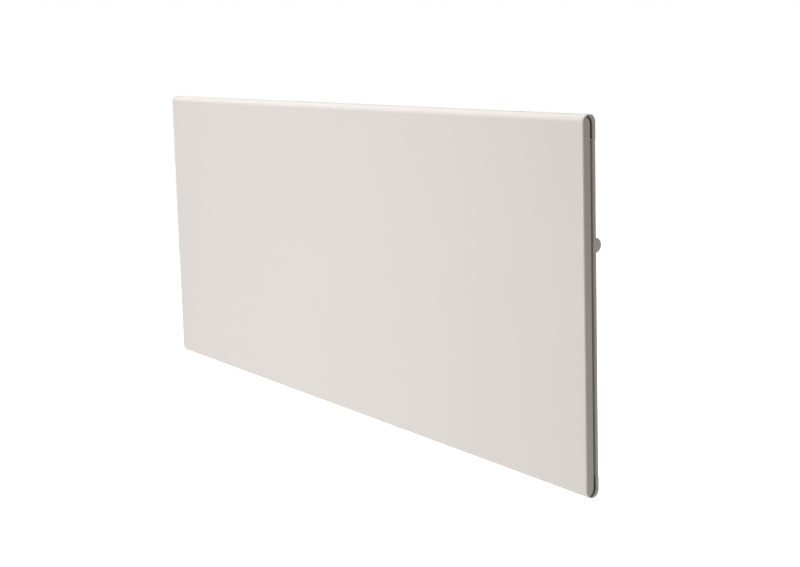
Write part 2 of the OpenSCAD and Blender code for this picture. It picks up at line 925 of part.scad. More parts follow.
// Radius of the cam at an angle measured from the front towards the top:
// it falls steadily over the turn of the knob and climbs back in the unused sector
cam_rest = 20;
function cam_radius(a) =
    a <= knob_turn ? cam_r + cam_rise * (knob_turn - a) / knob_turn
    : a <= knob_turn + cam_rest ? cam_r
    : a >= 360 - cam_rest ? cam_r + cam_rise
    : cam_r + cam_rise * (a - knob_turn - cam_rest) / (360 - 2 * cam_rest - knob_turn);

module setting_cam() {
    color("white")
        along_x(cam_x0, cam_x0 + cam_t)
            translate([knob_y, knob_z])
                difference() {
                    polygon([for (a = [355:-5:0]) cam_radius(a) * [-cos(a), sin(a)]]);
                    circle(spindle_r + running);
                }
}

module cam_follower() {
    color("white")
        translate([cam_x, knob_y, follower_top - follower_l]) {
            cylinder(r = follower_r, h = follower_l);
            translate([0, 0, follower_l - follower_rim_h])
                cylinder(r = follower_r + follower_rim, h = follower_rim_h);
        }
}

module thermostat_knob() {
    color("whitesmoke")
        difference() {
            union() {
                x_hole(skirt_x0 + skirt_l / 2, knob_y, knob_z, knob_skirt_d / 2, skirt_l);
                x_hole((skirt_x0 + knob_end - knob_bevel) / 2, knob_y, knob_z, knob_d / 2,
                       knob_end - knob_bevel - skirt_x0);
                translate([knob_end - knob_bevel, knob_y, knob_z])
                    rotate([0, 90, 0])
                        cylinder(r1 = knob_d / 2, r2 = knob_d / 2 - knob_bevel * 0.8, h = knob_bevel);
            }
            x_hole(skirt_x0, knob_y, knob_z, nut_af / sqrt(3) + skirt_gap, 2 * (skirt_l - 1));
            difference() {
                x_hole((skirt_x0 + spindle_end) / 2, knob_y, knob_z, spindle_r + running,
                       spindle_end - skirt_x0 + 2 * seam);
                spindle_flat(running, flat_x + seam);
            }
        }
}

module rating_plate() {
    color("silver")
        along_y(y_casing, y_casing + plate_t)
            translate([plate_x, plate_z])
                rounded_rect(-plate_size[0] / 2, plate_size[0] / 2, -plate_size[1] / 2,
                             plate_size[1] / 2, 2);
}

module terminal_block() {
    color("ivory")
        difference() {
            box_between([block_x - block_size[0] / 2, block_y1 - block_size[1],
                         block_z - block_size[2] / 2],
                        [block_x + block_size[0] / 2, block_y1, block_z + block_size[2] / 2]);
            for (z = pole_zs) {
                x_hole(block_x, pole_y, z, lead_r + pole_clear, block_size[0] + 2 * over);
                for (s = [-1, 1])
                    y_hole(block_x + s * pole_x, block_y1 - block_size[1], z, pole_r,
                           2 * pole_depth);
            }
        }
}

module terminal_screws() {
    color("goldenrod")
        for (z = pole_zs, s = [-1, 1])
            y_hole(block_x + s * pole_x,
                   block_y1 - block_size[1] + pole_depth - terminal_screw_l, z,
                   pole_r - running, terminal_screw_l);
}

module earth_stud() {
    color("goldenrod") {
        y_hole(block_x, y_casing + earth_head - earth_l / 2, earth_z, earth_r, earth_l);
        y_hole(block_x, grille_y1 - earth_washer_t / 2, earth_z, 2 * earth_r, earth_washer_t);
        translate([block_x, grille_y1 - earth_nut_rise, earth_z])
            rotate([90, 0, 0])
                cylinder(r = 2 * earth_r, h = earth_nut_h, $fn = 6);
    }
}

module live_lead() {
    color("saddlebrown")
        lead([[block_right, pole_y, pole_zs[2]],
              [block_right + 10, pole_y, pole_zs[2]],
              [block_right + 10, pole_y - 4, pole_zs[2] + 40],
              [cam_x, knob_y + blade_y, blade_bottom - 30],
              [cam_x, knob_y + blade_y, blade_end]]);
}

module switched_lead() {
    color("black")
        lead([[cam_x, knob_y - blade_y, blade_end],
              [cam_x, knob_y - blade_y, blade_bottom - 24],
              [grommet_out + 10, grommet_y + lead_spread, grommet_z + 20],
              [grommet_out, grommet_y + lead_spread, grommet_z + lead_rise],
              [grommet_in, grommet_y + lead_spread, grommet_z + lead_rise],
              [cutout_x + 24, cutout_y, cutout_z + 34],
              [cutout_x + tab_x, cutout_y, tab_top_z + 16],
              [cutout_x + tab_x, cutout_y, tab_top_z]]);
}

module cutout_lead() {
    color("black")
        lead([[cutout_x - tab_x, cutout_y, tab_top_z],
              [cutout_x - tab_x, cutout_y, tab_top_z + 10],
              [cutout_x - tab_x, cutout_y - 16, tab_top_z + 12],
              [bracket_right_x + 6, element_y - 8, element_screw_zs[1] + 16],
              [stud_x + 12, element_y, leg_zs[1] + 22],
              [stud_x + 12, element_y, leg_zs[1]],
              [stud_x, element_y, leg_zs[1]]]);
}

module neutral_lead() {
    color("royalblue")
        lead([[block_left, pole_y, pole_zs[1]],
              [block_left - 8, pole_y, pole_zs[1]],
              [grommet_out, grommet_y - lead_rise, grommet_z - lead_spread],
              [grommet_in, grommet_y - lead_rise, grommet_z - lead_spread],
              [grommet_in - 4, element_y - 9, element_z],
              [stud_x + 14, element_y, leg_zs[0]],
              [stud_x, element_y, leg_zs[0]]]);
}

module earth_lead() {
    color("yellowgreen")
        lead([[block_left, pole_y, pole_zs[0]],
              [block_left - 12, pole_y, pole_zs[0]],
              [block_left - 12, y_inner - 6, earth_z - 14],
              [block_x - 14, y_inner - 3.6, earth_z],
              [block_x - 4.3, y_inner - 3.4, earth_z]]);
}

// Gland body: a threaded tube through the floor with a hexagon below it
module cable_gland() {
    top = inlet_z + casing_t + gland_up;
    color(gland_colour)
        translate([block_x, gland_y, 0])
            difference() {
                union() {
                    translate([0, 0, inlet_z - gland_down])
                        cylinder(r = gland_d / 2, h = top - inlet_z + gland_down);
                    translate([0, 0, inlet_z - fit - gland_hex_h])
                        cylinder(r = gland_af / sqrt(3), h = gland_hex_h, $fn = 6);
                }
                translate([0, 0, inlet_z - gland_down - over])
                    cylinder(r = cable_d / 2, h = top - inlet_z + gland_down + 2 * over);
            }
}

module gland_locknut() {
    color(gland_colour)
        translate([block_x, gland_y, inlet_z + casing_t + fit])
            difference() {
                cylinder(r = gland_af / sqrt(3), h = gland_nut_h, $fn = 6);
                translate([0, 0, -1])
                    cylinder(r = gland_d / 2 + running, h = 8);
            }
}

// Cap nut over the lower end of the gland body
module gland_cap() {
    z1 = inlet_z - fit - gland_hex_h - seam;
    z0 = inlet_z - gland_down - gland_cap_h;
    r = gland_d / 2 + gland_cap_wall;
    color(gland_colour)
        translate([block_x, gland_y, 0])
            difference() {
                union() {
                    translate([0, 0, z0 + gland_cap_h])
                        cylinder(r = r, h = z1 - z0 - gland_cap_h);
                    translate([0, 0, z0])
                        cylinder(r1 = gland_d / 2, r2 = r, h = gland_cap_h);
                }
                translate([0, 0, inlet_z - gland_down - seam])
                    cylinder(r = gland_d / 2 + running, h = 40);
                translate([0, 0, z0 - over])
                    cylinder(r = cable_d / 2 + seam, h = 10);
            }
}

// Plan of a rail: a hat section whose feet lie on the crossbars
module rail_plan() {
    half = rail_w / 2;
    t = bracket_t;
    translate([-half, web_y])
        square([rail_w, t]);
    for (s = [0, 1])
        mirror([s, 0]) {
            translate([half - t, web_y])
                square([t, -t - web_y]);
            translate([half - t, -2 * t])
                square([rail_foot_w + t, t]);
        }
}

module bracket_rail(x) {
    color("lightgray")
        translate([x, 0, 0]) {
            difference() {
                translate([0, 0, rail_bottom])
                    linear_extrude(rail_h)
                        rail_plan();
                for (z = hook_zs)
                    box_between([-hook_w / 2 - hook_side_gap, web_y - over, z + bracket_t],
                                [hook_w / 2 + hook_side_gap, web_y + bracket_t + over,
                                 z + hook_len + over]);
                for (s = [-1, 1], z = [-1, 1])
                    y_hole(s * rivet_x, -bracket_t * 1.5, z * screw_spacing_z / 2,
                           rivet_r + running, bracket_t + 2);
            }
            for (z = hook_zs)
                translate([0, web_mid_y, z])
                    rotate([45, 0, 0])
                        translate([-hook_w / 2, -bracket_t / 2, -bracket_t / 4])
                            cube([hook_w, bracket_t, hook_len + bracket_t / 4]);
        }
}

module bracket_rail_left() { bracket_rail(-rail_x); }

module bracket_rail_right() { bracket_rail(rail_x); }

module bracket_crossbar(z) {
    l = 2 * (rail_x + rail_w / 2 + rail_foot_w + crossbar_end);
    color("lightgray")
        along_y(-bracket_t, 0)
            translate([0, z])
                difference() {
                    rounded_rect(-l / 2, l / 2, -crossbar_h / 2, crossbar_h / 2, 3);
                    for (s = [-1, 1])
                        translate([s * screw_spacing_x / 2, 0])
                            slot_2d(screw_slot_l, screw_slot_d);
                    for (r = [-1, 1], s = [-1, 1])
                        translate([r * rail_x + s * rivet_x, 0])
                            circle(rivet_r + running);
                }
}

module bracket_crossbar_upper() { bracket_crossbar(screw_spacing_z / 2); }

module bracket_crossbar_lower() { bracket_crossbar(-screw_spacing_z / 2); }

module bracket_rivets() {
    color("silver")
        for (r = [-1, 1], s = [-1, 1], z = [-1, 1])
            translate([r * rail_x + s * rivet_x, 0, z * screw_spacing_z / 2]) {
                y_hole(0, -bracket_t - 0.1, 0, rivet_r, 2 * bracket_t - 0.2);
                y_hole(0, -2 * bracket_t - rivet_head_h / 2, 0, 1.8 * rivet_r, rivet_head_h);
            }
}

module bracket_pads() {
    half = rail_w / 2 - pad_inset;
    color([0.14, 0.14, 0.14])
        for (s = [-1, 1], z = [for (h = hook_zs) h + hook_len + pad_gap])
            box_between([s * rail_x - half, web_y - pad_t, z],
                        [s * rail_x + half, web_y, z + pad_h]);
}

front_cover();
back_panel();
stiffener_left();
stiffener_right();
cover_screws();
rear_casing();
casing_screws();
outlet_grille();
inlet_grille();
grille_screws();
partition();
lead_grommet();
reflector();
heating_tube();
heating_fins();
element_bracket_left();
element_bracket_right();
element_screws();
ceramic_bushes();
element_terminals();
cutout_shelf();
thermal_cutout();
thermostat_housing();
thermostat_cover();
thermostat_contacts();
contact_leaf();
thermostat_nut();
dial_ring();
thermostat_spindle();
setting_cam();
cam_follower();
thermostat_knob();
rating_plate();
terminal_block();
terminal_screws();
earth_stud();
live_lead();
switched_lead();
cutout_lead();
neutral_lead();
earth_lead();
cable_gland();
gland_locknut();
gland_cap();
bracket_rail_left();
bracket_rail_right();
bracket_crossbar_upper();
bracket_crossbar_lower();
bracket_rivets();
bracket_pads();
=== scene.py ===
# %% [markdown]
# # A wall-hung convector heater
# The heater is a slim box of folded steel sheet. Room air enters it from below, is warmed by a
# finned element inside and leaves through slots at the top. The CAD model already holds every
# part at its true place. All of it could be drawn again in Blender, but then places would
# drift, so this lesson loads it as a fixed frame and dresses it: the parts that show get finer
# shapes, and all parts get materials.

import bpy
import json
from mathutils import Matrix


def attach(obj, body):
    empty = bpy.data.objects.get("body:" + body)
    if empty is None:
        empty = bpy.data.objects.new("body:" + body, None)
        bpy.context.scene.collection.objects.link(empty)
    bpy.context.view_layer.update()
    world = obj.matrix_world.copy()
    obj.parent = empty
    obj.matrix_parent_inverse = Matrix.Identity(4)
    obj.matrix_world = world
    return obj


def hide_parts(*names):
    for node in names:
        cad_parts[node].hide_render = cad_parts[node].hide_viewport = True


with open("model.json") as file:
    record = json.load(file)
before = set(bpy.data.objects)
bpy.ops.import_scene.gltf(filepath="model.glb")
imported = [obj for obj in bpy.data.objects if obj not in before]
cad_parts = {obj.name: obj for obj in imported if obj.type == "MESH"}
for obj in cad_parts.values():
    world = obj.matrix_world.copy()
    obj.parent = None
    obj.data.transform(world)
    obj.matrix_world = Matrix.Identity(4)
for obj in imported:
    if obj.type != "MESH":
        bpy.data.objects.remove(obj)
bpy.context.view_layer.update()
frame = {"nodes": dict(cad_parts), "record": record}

# %% Blender's modules and the unit
import json
import math

import bmesh
import bpy
from mathutils import Matrix, Vector

MM = 0.001
X_AXIS = (1, 0, 0)
Y_AXIS = (0, 1, 0)
Z_AXIS = (0, 0, 1)
scene = bpy.context.scene
print("one millimetre is", MM, "Blender units")

# %% [markdown]
# ## Camera
# The photograph looks at the heater from the right, from a little above its middle. A camera
# could be moved by eye until the picture fits. Here its place and angles were solved from the
# long edges of the front and the side, which is closer. A lens shift keeps the upright edges
# nearly parallel, as the photographer's lens did.

# %% Camera
CAMERA_PLACE = (1.3396, -1.0089, 0.2844)
CAMERA_TURN = (83.545, 1.549, 52.323)
CAMERA_LENS = 57.52
CAMERA_SENSOR = 36
CAMERA_SHIFT = -0.13

camera_data = bpy.data.cameras.new("camera")
camera_data.lens = CAMERA_LENS
camera_data.sensor_width = CAMERA_SENSOR
camera_data.shift_y = CAMERA_SHIFT
camera = bpy.data.objects.new("camera", camera_data)
camera.location = CAMERA_PLACE
camera.rotation_euler = [math.radians(a) for a in CAMERA_TURN]
scene.collection.objects.link(camera)
scene.camera = camera
print("camera", [round(v, 3) for v in camera.location])

# %% [markdown]
# ## Soft boxes
# The photograph is a studio shot on white. A soft box stands in front of the heater, a little
# to the left, with a grid that keeps its light to the middle, so the front is brightest there.
# One above gives the rolled top edge its bright line, and a weak one far to the left adds a
# faint sheen. A sun lamp would be simpler, but its light is hard and even, while wide area
# lights give soft shade. The box at the back isn't in the photograph's setup: it keeps the
# rear readable when the heater is turned.

# %% Soft boxes
FLASH_TINT = (0.94, 0.96, 1.0)


def soft_box(name, place, target, width, height, power, spread=180, tint=(1, 1, 1)):
    """An area light that looks at a point. A small spread keeps its light to the middle."""
    light = bpy.data.lights.new(name, "AREA")
    light.color = tint
    light.shape = "RECTANGLE"
    light.size = width
    light.size_y = height
    light.energy = power
    light.spread = math.radians(spread)
    lamp = bpy.data.objects.new(name, light)
    lamp.location = place
    lamp.rotation_euler = (Vector(target) - Vector(place)).to_track_quat("-Z", "Y").to_euler()
    scene.collection.objects.link(lamp)


soft_box("front_box", (-0.36, -3.0, 0.6), (-0.14, 0, -0.06), 1.5, 1.4, 10.2, spread=68,
         tint=FLASH_TINT)
soft_box("left_box", (-5.0, -3.5, 0.4), (0, 0, 0), 1.0, 1.3, 4.0)
soft_box("top_box", (-0.3, -0.1, 2.6), (-0.3, 0, 0), 1.4, 1.0, 57)
soft_box("rear_box", (-1.1, 3.0, 0.9), (0, 0, 0), 1.6, 1.6, 30)
print("lights", len(bpy.data.lights))

# %% [markdown]
# ## The room
# The heater's right side turns away from the boxes, so only the room lights it. That makes it
# much darker than the front, and warmer. One white world could give the white surround, but it
# would light every side alike and wash the form out. So there are two: the camera sees a white
# one, and the heater is lit by a weaker, warmer one.

# %% Helper that fills a node
def feed(tree, node, sources):
    """Fills a node's inputs, by name or index, with values or with links to other sockets."""
    for key, source in sources.items():
        if isinstance(source, bpy.types.NodeSocket):
            tree.links.new(source, node.inputs[key])
        else:
            node.inputs[key].default_value = source


# %% Room
ROOM_LIGHT = 0.125
ROOM_WARMTH = (1.11, 1.075, 0.92, 1)
ROOM_WHITE = (1, 1, 1, 1)
world = bpy.data.worlds.new("studio")
scene.world = world
world.use_nodes = True
room = world.node_tree
felt_room = room.nodes["Background"]
feed(room, felt_room, {"Color": ROOM_WARMTH, "Strength": ROOM_LIGHT})
seen_room = room.nodes.new("ShaderNodeBackground")
feed(room, seen_room, {"Color": ROOM_WHITE, "Strength": 1.0})
either_room = room.nodes.new("ShaderNodeMixShader")
camera_ray = room.nodes.new("ShaderNodeLightPath").outputs["Is Camera Ray"]
feed(room, either_room, {"Fac": camera_ray, 1: felt_room.outputs["Background"],
                         2: seen_room.outputs["Background"]})
feed(room, room.nodes["World Output"], {"Surface": either_room.outputs["Shader"]})
scene.view_settings.view_transform = "Standard"
print("light of the room", ROOM_LIGHT)

# %% [markdown]
# ## Node groups for the finishes
# Powder coat is not a flat colour: close up it has a fine orange-peel ripple, and over a large
# panel its tone drifts by a percent or two. A picture of it could be wrapped round the sheet,
# but would show its seams and its repeats. The group below makes both by noise on Object
# coordinates, so the pattern has no seam and stays on the metal when the heater moves. Its
# sockets are named, and each material fills them with its own values.

# %% Helper that makes a node group
KINDS = {"number": "NodeSocketFloat", "vector": "NodeSocketVector", "colour": "NodeSocketColor"}
SURFACE_OUT = {"Colour": "colour", "Roughness": "number", "Normal": "vector"}


def surface_group(name, inputs):
    """A shader node group for a surface. Each input has a kind and a value of its own."""
    group = bpy.data.node_groups.new(name, "ShaderNodeTree")
    for label, (kind, value) in inputs.items():
        socket = group.interface.new_socket(label, in_out="INPUT", socket_type=KINDS[kind])
        socket.default_value = value
    for label, kind in SURFACE_OUT.items():
        group.interface.new_socket(label, in_out="OUTPUT", socket_type=KINDS[kind])
    return group, group.nodes.new("NodeGroupInput"), group.nodes.new("NodeGroupOutput")


# %% Helpers that make a pattern and turn it into tone, gloss or relief
def noise_on(group, coordinates, scale, detail):
    """A noise texture on the given coordinates."""
    noise = group.nodes.new("ShaderNodeTexNoise")
    feed(group, noise, {"Vector": coordinates, "Scale": scale, "Detail": detail})
    return noise.outputs["Fac"]


def spread_value(group, value, middle, reach):
    """Maps a 0 to 1 value to the middle, less or more by up to half the reach."""
    centred = group.nodes.new("ShaderNodeMath")
    centred.operation = "SUBTRACT"
    feed(group, centred, {0: value, 1: 0.5})
    scaled = group.nodes.new("ShaderNodeMath")
    scaled.operation = "MULTIPLY_ADD"
    feed(group, scaled, {0: centred.outputs[0], 1: reach, 2: middle})
    return scaled.outputs[0]


def bump_from(group, height, strength, distance):
    """A normal from a height."""
    bump = group.nodes.new("ShaderNodeBump")
    feed(group, bump, {"Height": height, "Strength": strength, "Distance": distance})
    return bump.outputs["Normal"]


def toned(group, color, value):
    """A colour made brighter or darker by a value near 1."""
    tone = group.nodes.new("ShaderNodeHueSaturation")
    feed(group, tone, {"Color": color, "Value": value})
    return tone.outputs["Color"]


# %% Surface group for paint, plastic and rubber
CLOUD_SCALE = 7.0
CLOUD_DETAIL = 3.0
PEEL_DETAIL = 2.0
PEEL_DISTANCE = 0.0002
skin, skin_in, skin_out = surface_group("even_skin", {
    "Colour": ("colour", (0.8, 0.8, 0.8, 1)),
    "Roughness": ("number", 0.4),
    "Grain Scale": ("number", 900),
    "Grain Depth": ("number", 0.1),
    "Drift": ("number", 0.03),
    "Gloss Drift": ("number", 0.05),
})
given = skin_in.outputs
skin_place = skin.nodes.new("ShaderNodeTexCoord").outputs["Object"]
clouds = noise_on(skin, skin_place, CLOUD_SCALE, CLOUD_DETAIL)
peel = noise_on(skin, skin_place, given["Grain Scale"], PEEL_DETAIL)
feed(skin, skin_out, {
    "Colour": toned(skin, given["Colour"], spread_value(skin, clouds, 1.0, given["Drift"])),
    "Roughness": spread_value(skin, clouds, given["Roughness"], given["Gloss Drift"]),
    "Normal": bump_from(skin, peel, given["Grain Depth"], PEEL_DISTANCE),
})
print("nodes in the skin group", len(skin.nodes))

# %% [markdown]
# ## Bare metal
# Galvanised sheet shows zinc crystals, a patchwork of slightly different greys. Turned and
# rolled metal shows fine lines instead. Each could have a group of its own, but one group with
# a strength for each serves both: a cell pattern makes the crystals, and a noise that is
# stretched along one direction makes the lines.

# %% Surface group for bare metal
metal, metal_in, metal_out = surface_group("bare_metal", {
    "Colour": ("colour", (0.6, 0.6, 0.6, 1)),
    "Roughness": ("number", 0.4),
    "Crystals": ("number", 0.2),
    "Crystal Scale": ("number", 120),
    "Lines": ("number", 0.1),
    "Line Stretch": ("vector", (40, 900, 900)),
    "Gloss Drift": ("number", 0.04),
})
given = metal_in.outputs
metal_place = metal.nodes.new("ShaderNodeTexCoord").outputs["Object"]
cells = metal.nodes.new("ShaderNodeTexVoronoi")
feed(metal, cells, {"Vector": metal_place, "Scale": given["Crystal Scale"]})
cell_tone = metal.nodes.new("ShaderNodeSeparateColor")
feed(metal, cell_tone, {"Color": cells.outputs["Color"]})
feed(metal, metal_out, {
    "Colour": toned(metal, given["Colour"],
                    spread_value(metal, cell_tone.outputs["Red"], 1.0, given["Crystals"])),
    "Roughness": spread_value(metal, cell_tone.outputs["Green"], given["Roughness"],
                              given["Gloss Drift"]),
})

# %% Lines in bare metal
LINE_DETAIL = 4.0
LINE_DISTANCE = 0.0001
stretched = metal.nodes.new("ShaderNodeVectorMath")
stretched.operation = "MULTIPLY"
feed(metal, stretched, {0: metal_place, 1: given["Line Stretch"]})
lines = noise_on(metal, stretched.outputs[0], 1.0, LINE_DETAIL)
feed(metal, metal_out, {"Normal": bump_from(metal, lines, given["Lines"], LINE_DISTANCE)})
print("nodes in the metal group", len(metal.nodes))


# %% Helper that makes a material
def surface(name, group, row, metallic=0.0):
    """A material from a group. What the row leaves out keeps the group's own value."""
    material = bpy.data.materials.new(name)
    material.use_nodes = True
    tree = material.node_tree
    pattern = tree.nodes.new("ShaderNodeGroup")
    pattern.node_tree = group
    colour, *values = row
    feed(tree, pattern, {"Colour": (*colour, 1)})
    feed(tree, pattern, dict(enumerate(values, start=1)))
    feed(tree, tree.nodes["Principled BSDF"],
         {"Base Color": pattern.outputs["Colour"], "Roughness": pattern.outputs["Roughness"],
          "Normal": pattern.outputs["Normal"], "Metallic": metallic})
    return material


# %% [markdown]
# ## The finishes of this heater
# The cover has a satin white powder coat, warm rather than blue. The parts behind it have the
# same coat, a little rougher. Inside are galvanised sheet, bright aluminium and the usual
# electrical plastics. Each finish could be built node by node, but they differ only in numbers,
# so two tables hold those, under the names of the record's slots.

# %% Paint, plastic and rubber
# A row holds colour, roughness, grain scale, grain depth, drift of tone and drift of gloss.
SKINS = {
    "cover_enamel": ((0.80, 0.752, 0.72), 0.37, 750, 0.10, 0.02, 0.05),
    "rear_enamel": ((0.80, 0.757, 0.72), 0.45, 750, 0.14, 0.03, 0.06),
    # Painted shade: a dark finish for the flange deep in the groove, standing in for the shade
    # that falls there.
    "groove_painted_shade": ((0.26, 0.245, 0.225), 0.55, 900, 0.14, 0.04),
    "ceramic": ((0.88, 0.85, 0.77), 0.15, 300, 0.05, 0.03, 0.03),
    "black_resin": ((0.03, 0.03, 0.033), 0.5, 1500, 0.15),
    "thermostat_resin": ((0.72, 0.66, 0.53), 0.5, 1500, 0.12),
    "dial_plastic": ((0.82, 0.80, 0.77), 0.45, 1800, 0.08),
    "dial_print": ((0.10, 0.10, 0.11), 0.5, 1800, 0.03),
    "knob_plastic": ((0.85, 0.76, 0.73), 0.35, 1800, 0.08),
    "acetal": ((0.86, 0.86, 0.83), 0.35, 1200, 0.05),
    "block_nylon": ((0.80, 0.77, 0.68), 0.5, 1200, 0.1),
    "lead_brown": ((0.16, 0.06, 0.02), 0.4, 900, 0.05),
    "lead_black": ((0.02, 0.02, 0.02), 0.4, 900, 0.05),
    "lead_blue": ((0.02, 0.09, 0.40), 0.4, 900, 0.05),
    "lead_green_yellow": ((0.35, 0.52, 0.03), 0.4, 900, 0.05, 0.3),
    "black_nylon": ((0.025, 0.025, 0.027), 0.42, 1500, 0.15),
    "black_rubber": ((0.02, 0.02, 0.02), 0.75, 700, 0.3, 0.1),
}
finishes = {slot: surface(slot, skin, row) for slot, row in SKINS.items()}
print("paints, plastics and rubber", len(finishes))

# %% Metals
# A row holds colour, roughness, crystals, crystal scale, lines and how the lines are stretched.
METALS = {
    "galvanised_steel": ((0.62, 0.63, 0.64), 0.5, 0.14, 200.0, 0.05),
    "bracket_steel": ((0.60, 0.61, 0.62), 0.48, 0.16, 170.0, 0.05),
    "zinc_screws": ((0.72, 0.73, 0.75), 0.25, 0.05, 400.0, 0.1),
    "reflector_foil": ((0.86, 0.87, 0.88), 0.22, 0.0, 100.0, 0.12),
    "fin_aluminium": ((0.75, 0.76, 0.77), 0.38, 0.0, 100.0, 0.15),
    "plate_aluminium": ((0.78, 0.79, 0.80), 0.48, 0.0, 100.0, 0.25, (30, 2500, 2500)),
    "element_sheath": ((0.26, 0.24, 0.22), 0.45, 0.1, 60.0, 0.1),
    "brass": ((0.80, 0.60, 0.28), 0.3, 0.05, 300.0, 0.1),
    "spindle_steel": ((0.62, 0.62, 0.63), 0.28, 0.0, 100.0, 0.2, (3000, 200, 200)),
}
for slot, row in METALS.items():
    finishes[slot] = surface(slot, metal, row, metallic=1.0)
print("finishes with the metals", len(finishes))

# %% [markdown]
# ## Dressing the CAD parts
# The tube, fins, leads and other parts inside are hidden by the sheets. They could be drawn
# again like the outer parts, but their CAD shape is right as it is, so it stays and each only
# gets the finish of its slot in the record.

# %% Materials on the CAD parts
for part in frame["record"]["subparts"]:
    cad_part = frame["nodes"][part["node"]]
    cad_part.data.materials.clear()
    cad_part.data.materials.append(finishes[part["material_slot"]])

# %% [markdown]
# ## Ways of working with sheet metal
# Nearly every outer part of this heater is bent from flat sheet. It could be carved out of
# boxes, but each lip and fold would need its own trick. So a part starts as a thin surface: a
# line is drawn with a pen, pulled out to a strip, its folds are rounded with a bevel, and only
# at the end does it get its thickness. The helpers below are those steps. All shapes are drawn
# in millimetres, as on a workshop drawing, and are scaled to metres when they are finished.

# %% Pen
# Points closer than TINY are one point, and a search for a place has to come as close as NEAR.
TINY = 0.001
NEAR = 0.01


def verts_of(geometry):
    """The vertices among what an operator made."""
    return [g for g in geometry if isinstance(g, bmesh.types.BMVert)]


def pen(bm, start, strokes):
    """Draws a line from start. A stroke is a point, or a centre with degrees about X and steps."""
    tip = bmesh.ops.create_vert(bm, co=start)["vert"][0]
    for stroke in strokes:
        if isinstance(stroke[0], tuple):
            centre, degrees, steps = stroke
            turned = bmesh.ops.spin(bm, geom=[tip], cent=centre, axis=X_AXIS,
                                    angle=math.radians(degrees), steps=steps)
            tip = verts_of(turned["geom_last"])[0]
        else:
            tip = bmesh.ops.extrude_vert_indiv(bm, verts=[tip])["verts"][0]
            tip.co = stroke


def outline(bm, corners):
    """Draws a line through corners and back to the first of them."""
    pen(bm, corners[0], corners[1:] + corners[:1])
    bmesh.ops.remove_doubles(bm, verts=bm.verts, dist=TINY)


# %% Pull and thicken
def pull(bm, edges, vector):
    """Extrudes edges along a vector and returns the new edges."""
    made = bmesh.ops.extrude_edge_only(bm, edges=edges)["geom"]
    bmesh.ops.translate(bm, verts=verts_of(made), vec=vector)
    return [g for g in made if isinstance(g, bmesh.types.BMEdge)
            and all(v in made for v in g.verts)]


def thicken(bm, faces, vector):
    """Extrudes flat faces to a solid plate."""
    made = bmesh.ops.extrude_face_region(bm, geom=faces)["geom"]
    bmesh.ops.translate(bm, verts=verts_of(made), vec=vector)


# %% Parts of a mesh
def ends_of(edges):
    """The vertices at the ends of edges, each once and in a fixed order."""
    return list(dict.fromkeys(v for e in edges for v in e.verts))


def parts_of(faces):
    """Faces with their edges and vertices, each once and in a fixed order."""
    edges = list(dict.fromkeys(e for f in faces for e in f.edges))
    return faces + edges + ends_of(edges)


def edges_where(bm, passes):
    """Edges whose ends both pass a test."""
    return [e for e in bm.edges if all(passes(v) for v in e.verts)]


def edges_along(bm, axis, point, longer=0):
    """Edges that run along an axis through a point and are longer than a length."""
    across = [i for i in range(3) if not axis[i]]
    found = edges_where(bm, lambda v: all(abs(v.co[i] - point[i]) < TINY for i in across))
    return [e for e in found if e.calc_length() > longer]


# %% Rounding and facing
def round_edges(bm, edges, radius, steps=4):
    """Rounds edges, such as the folds of a sheet."""
    bmesh.ops.bevel(bm, geom=edges, offset=radius, offset_type="OFFSET", affect="EDGES",
                    segments=steps, profile=0.5, material=-1, clamp_overlap=True)


def round_corners(bm, verts, radius):
    """Rounds corners of an outline that has no faces yet, or of a flat face."""
    bmesh.ops.bevel(bm, geom=verts, offset=radius, offset_type="OFFSET", affect="VERTICES",
                    segments=5, profile=0.5, material=-1, clamp_overlap=True)


def face_away(bm, inside):
    """Turns the faces of an open sheet away from a point."""
    bmesh.ops.recalc_face_normals(bm, faces=bm.faces)
    outward = sum(f.normal.dot(f.calc_center_median() - Vector(inside)) * f.calc_area()
                  for f in bm.faces)
    if outward < 0:
        bmesh.ops.reverse_faces(bm, faces=bm.faces)


# %% [markdown]
# ## Finishing a piece
# Real sheet has a thickness and is deburred, and the tiny round on every cut edge catches the
# light. The rounds could be drawn on each piece by hand, but a Solidify and a Bevel modifier
# make them alike everywhere, and their result becomes the mesh. Slivers that the bevel leaves
# are dissolved, and weighted normals keep the wide flat faces looking flat next to the rounds.
# Then the piece rides on its body and stands for its CAD part.

# %% Sheet thickness and rounded edges
SLIVER = 0.002
ROUND_OVER = 40
SHARP_OVER = 35


def add_sheet_and_rounds(piece, sheet, edge, edge_steps):
    """Puts the thickness of a sheet and its rounded edges into the mesh of a piece."""
    drawn = piece.data
    if sheet:
        wall = piece.modifiers.new("sheet", "SOLIDIFY")
        wall.thickness = sheet * MM
        wall.offset = -1
        wall.use_even_offset = True
    rounds = piece.modifiers.new("rounds", "BEVEL")
    rounds.width = edge * MM
    rounds.segments = edge_steps
    rounds.limit_method = "ANGLE"
    rounds.angle_limit = math.radians(ROUND_OVER)
    bpy.context.view_layer.update()
    shown = piece.evaluated_get(bpy.context.evaluated_depsgraph_get())
    piece.data = bpy.data.meshes.new_from_object(shown)
    piece.modifiers.clear()
    rounded = bmesh.new()
    rounded.from_mesh(piece.data)
    bmesh.ops.dissolve_degenerate(rounded, dist=SLIVER * MM, edges=rounded.edges)
    rounded.to_mesh(piece.data)
    rounded.free()
    piece.data.name = piece.name
    bpy.data.meshes.remove(drawn)


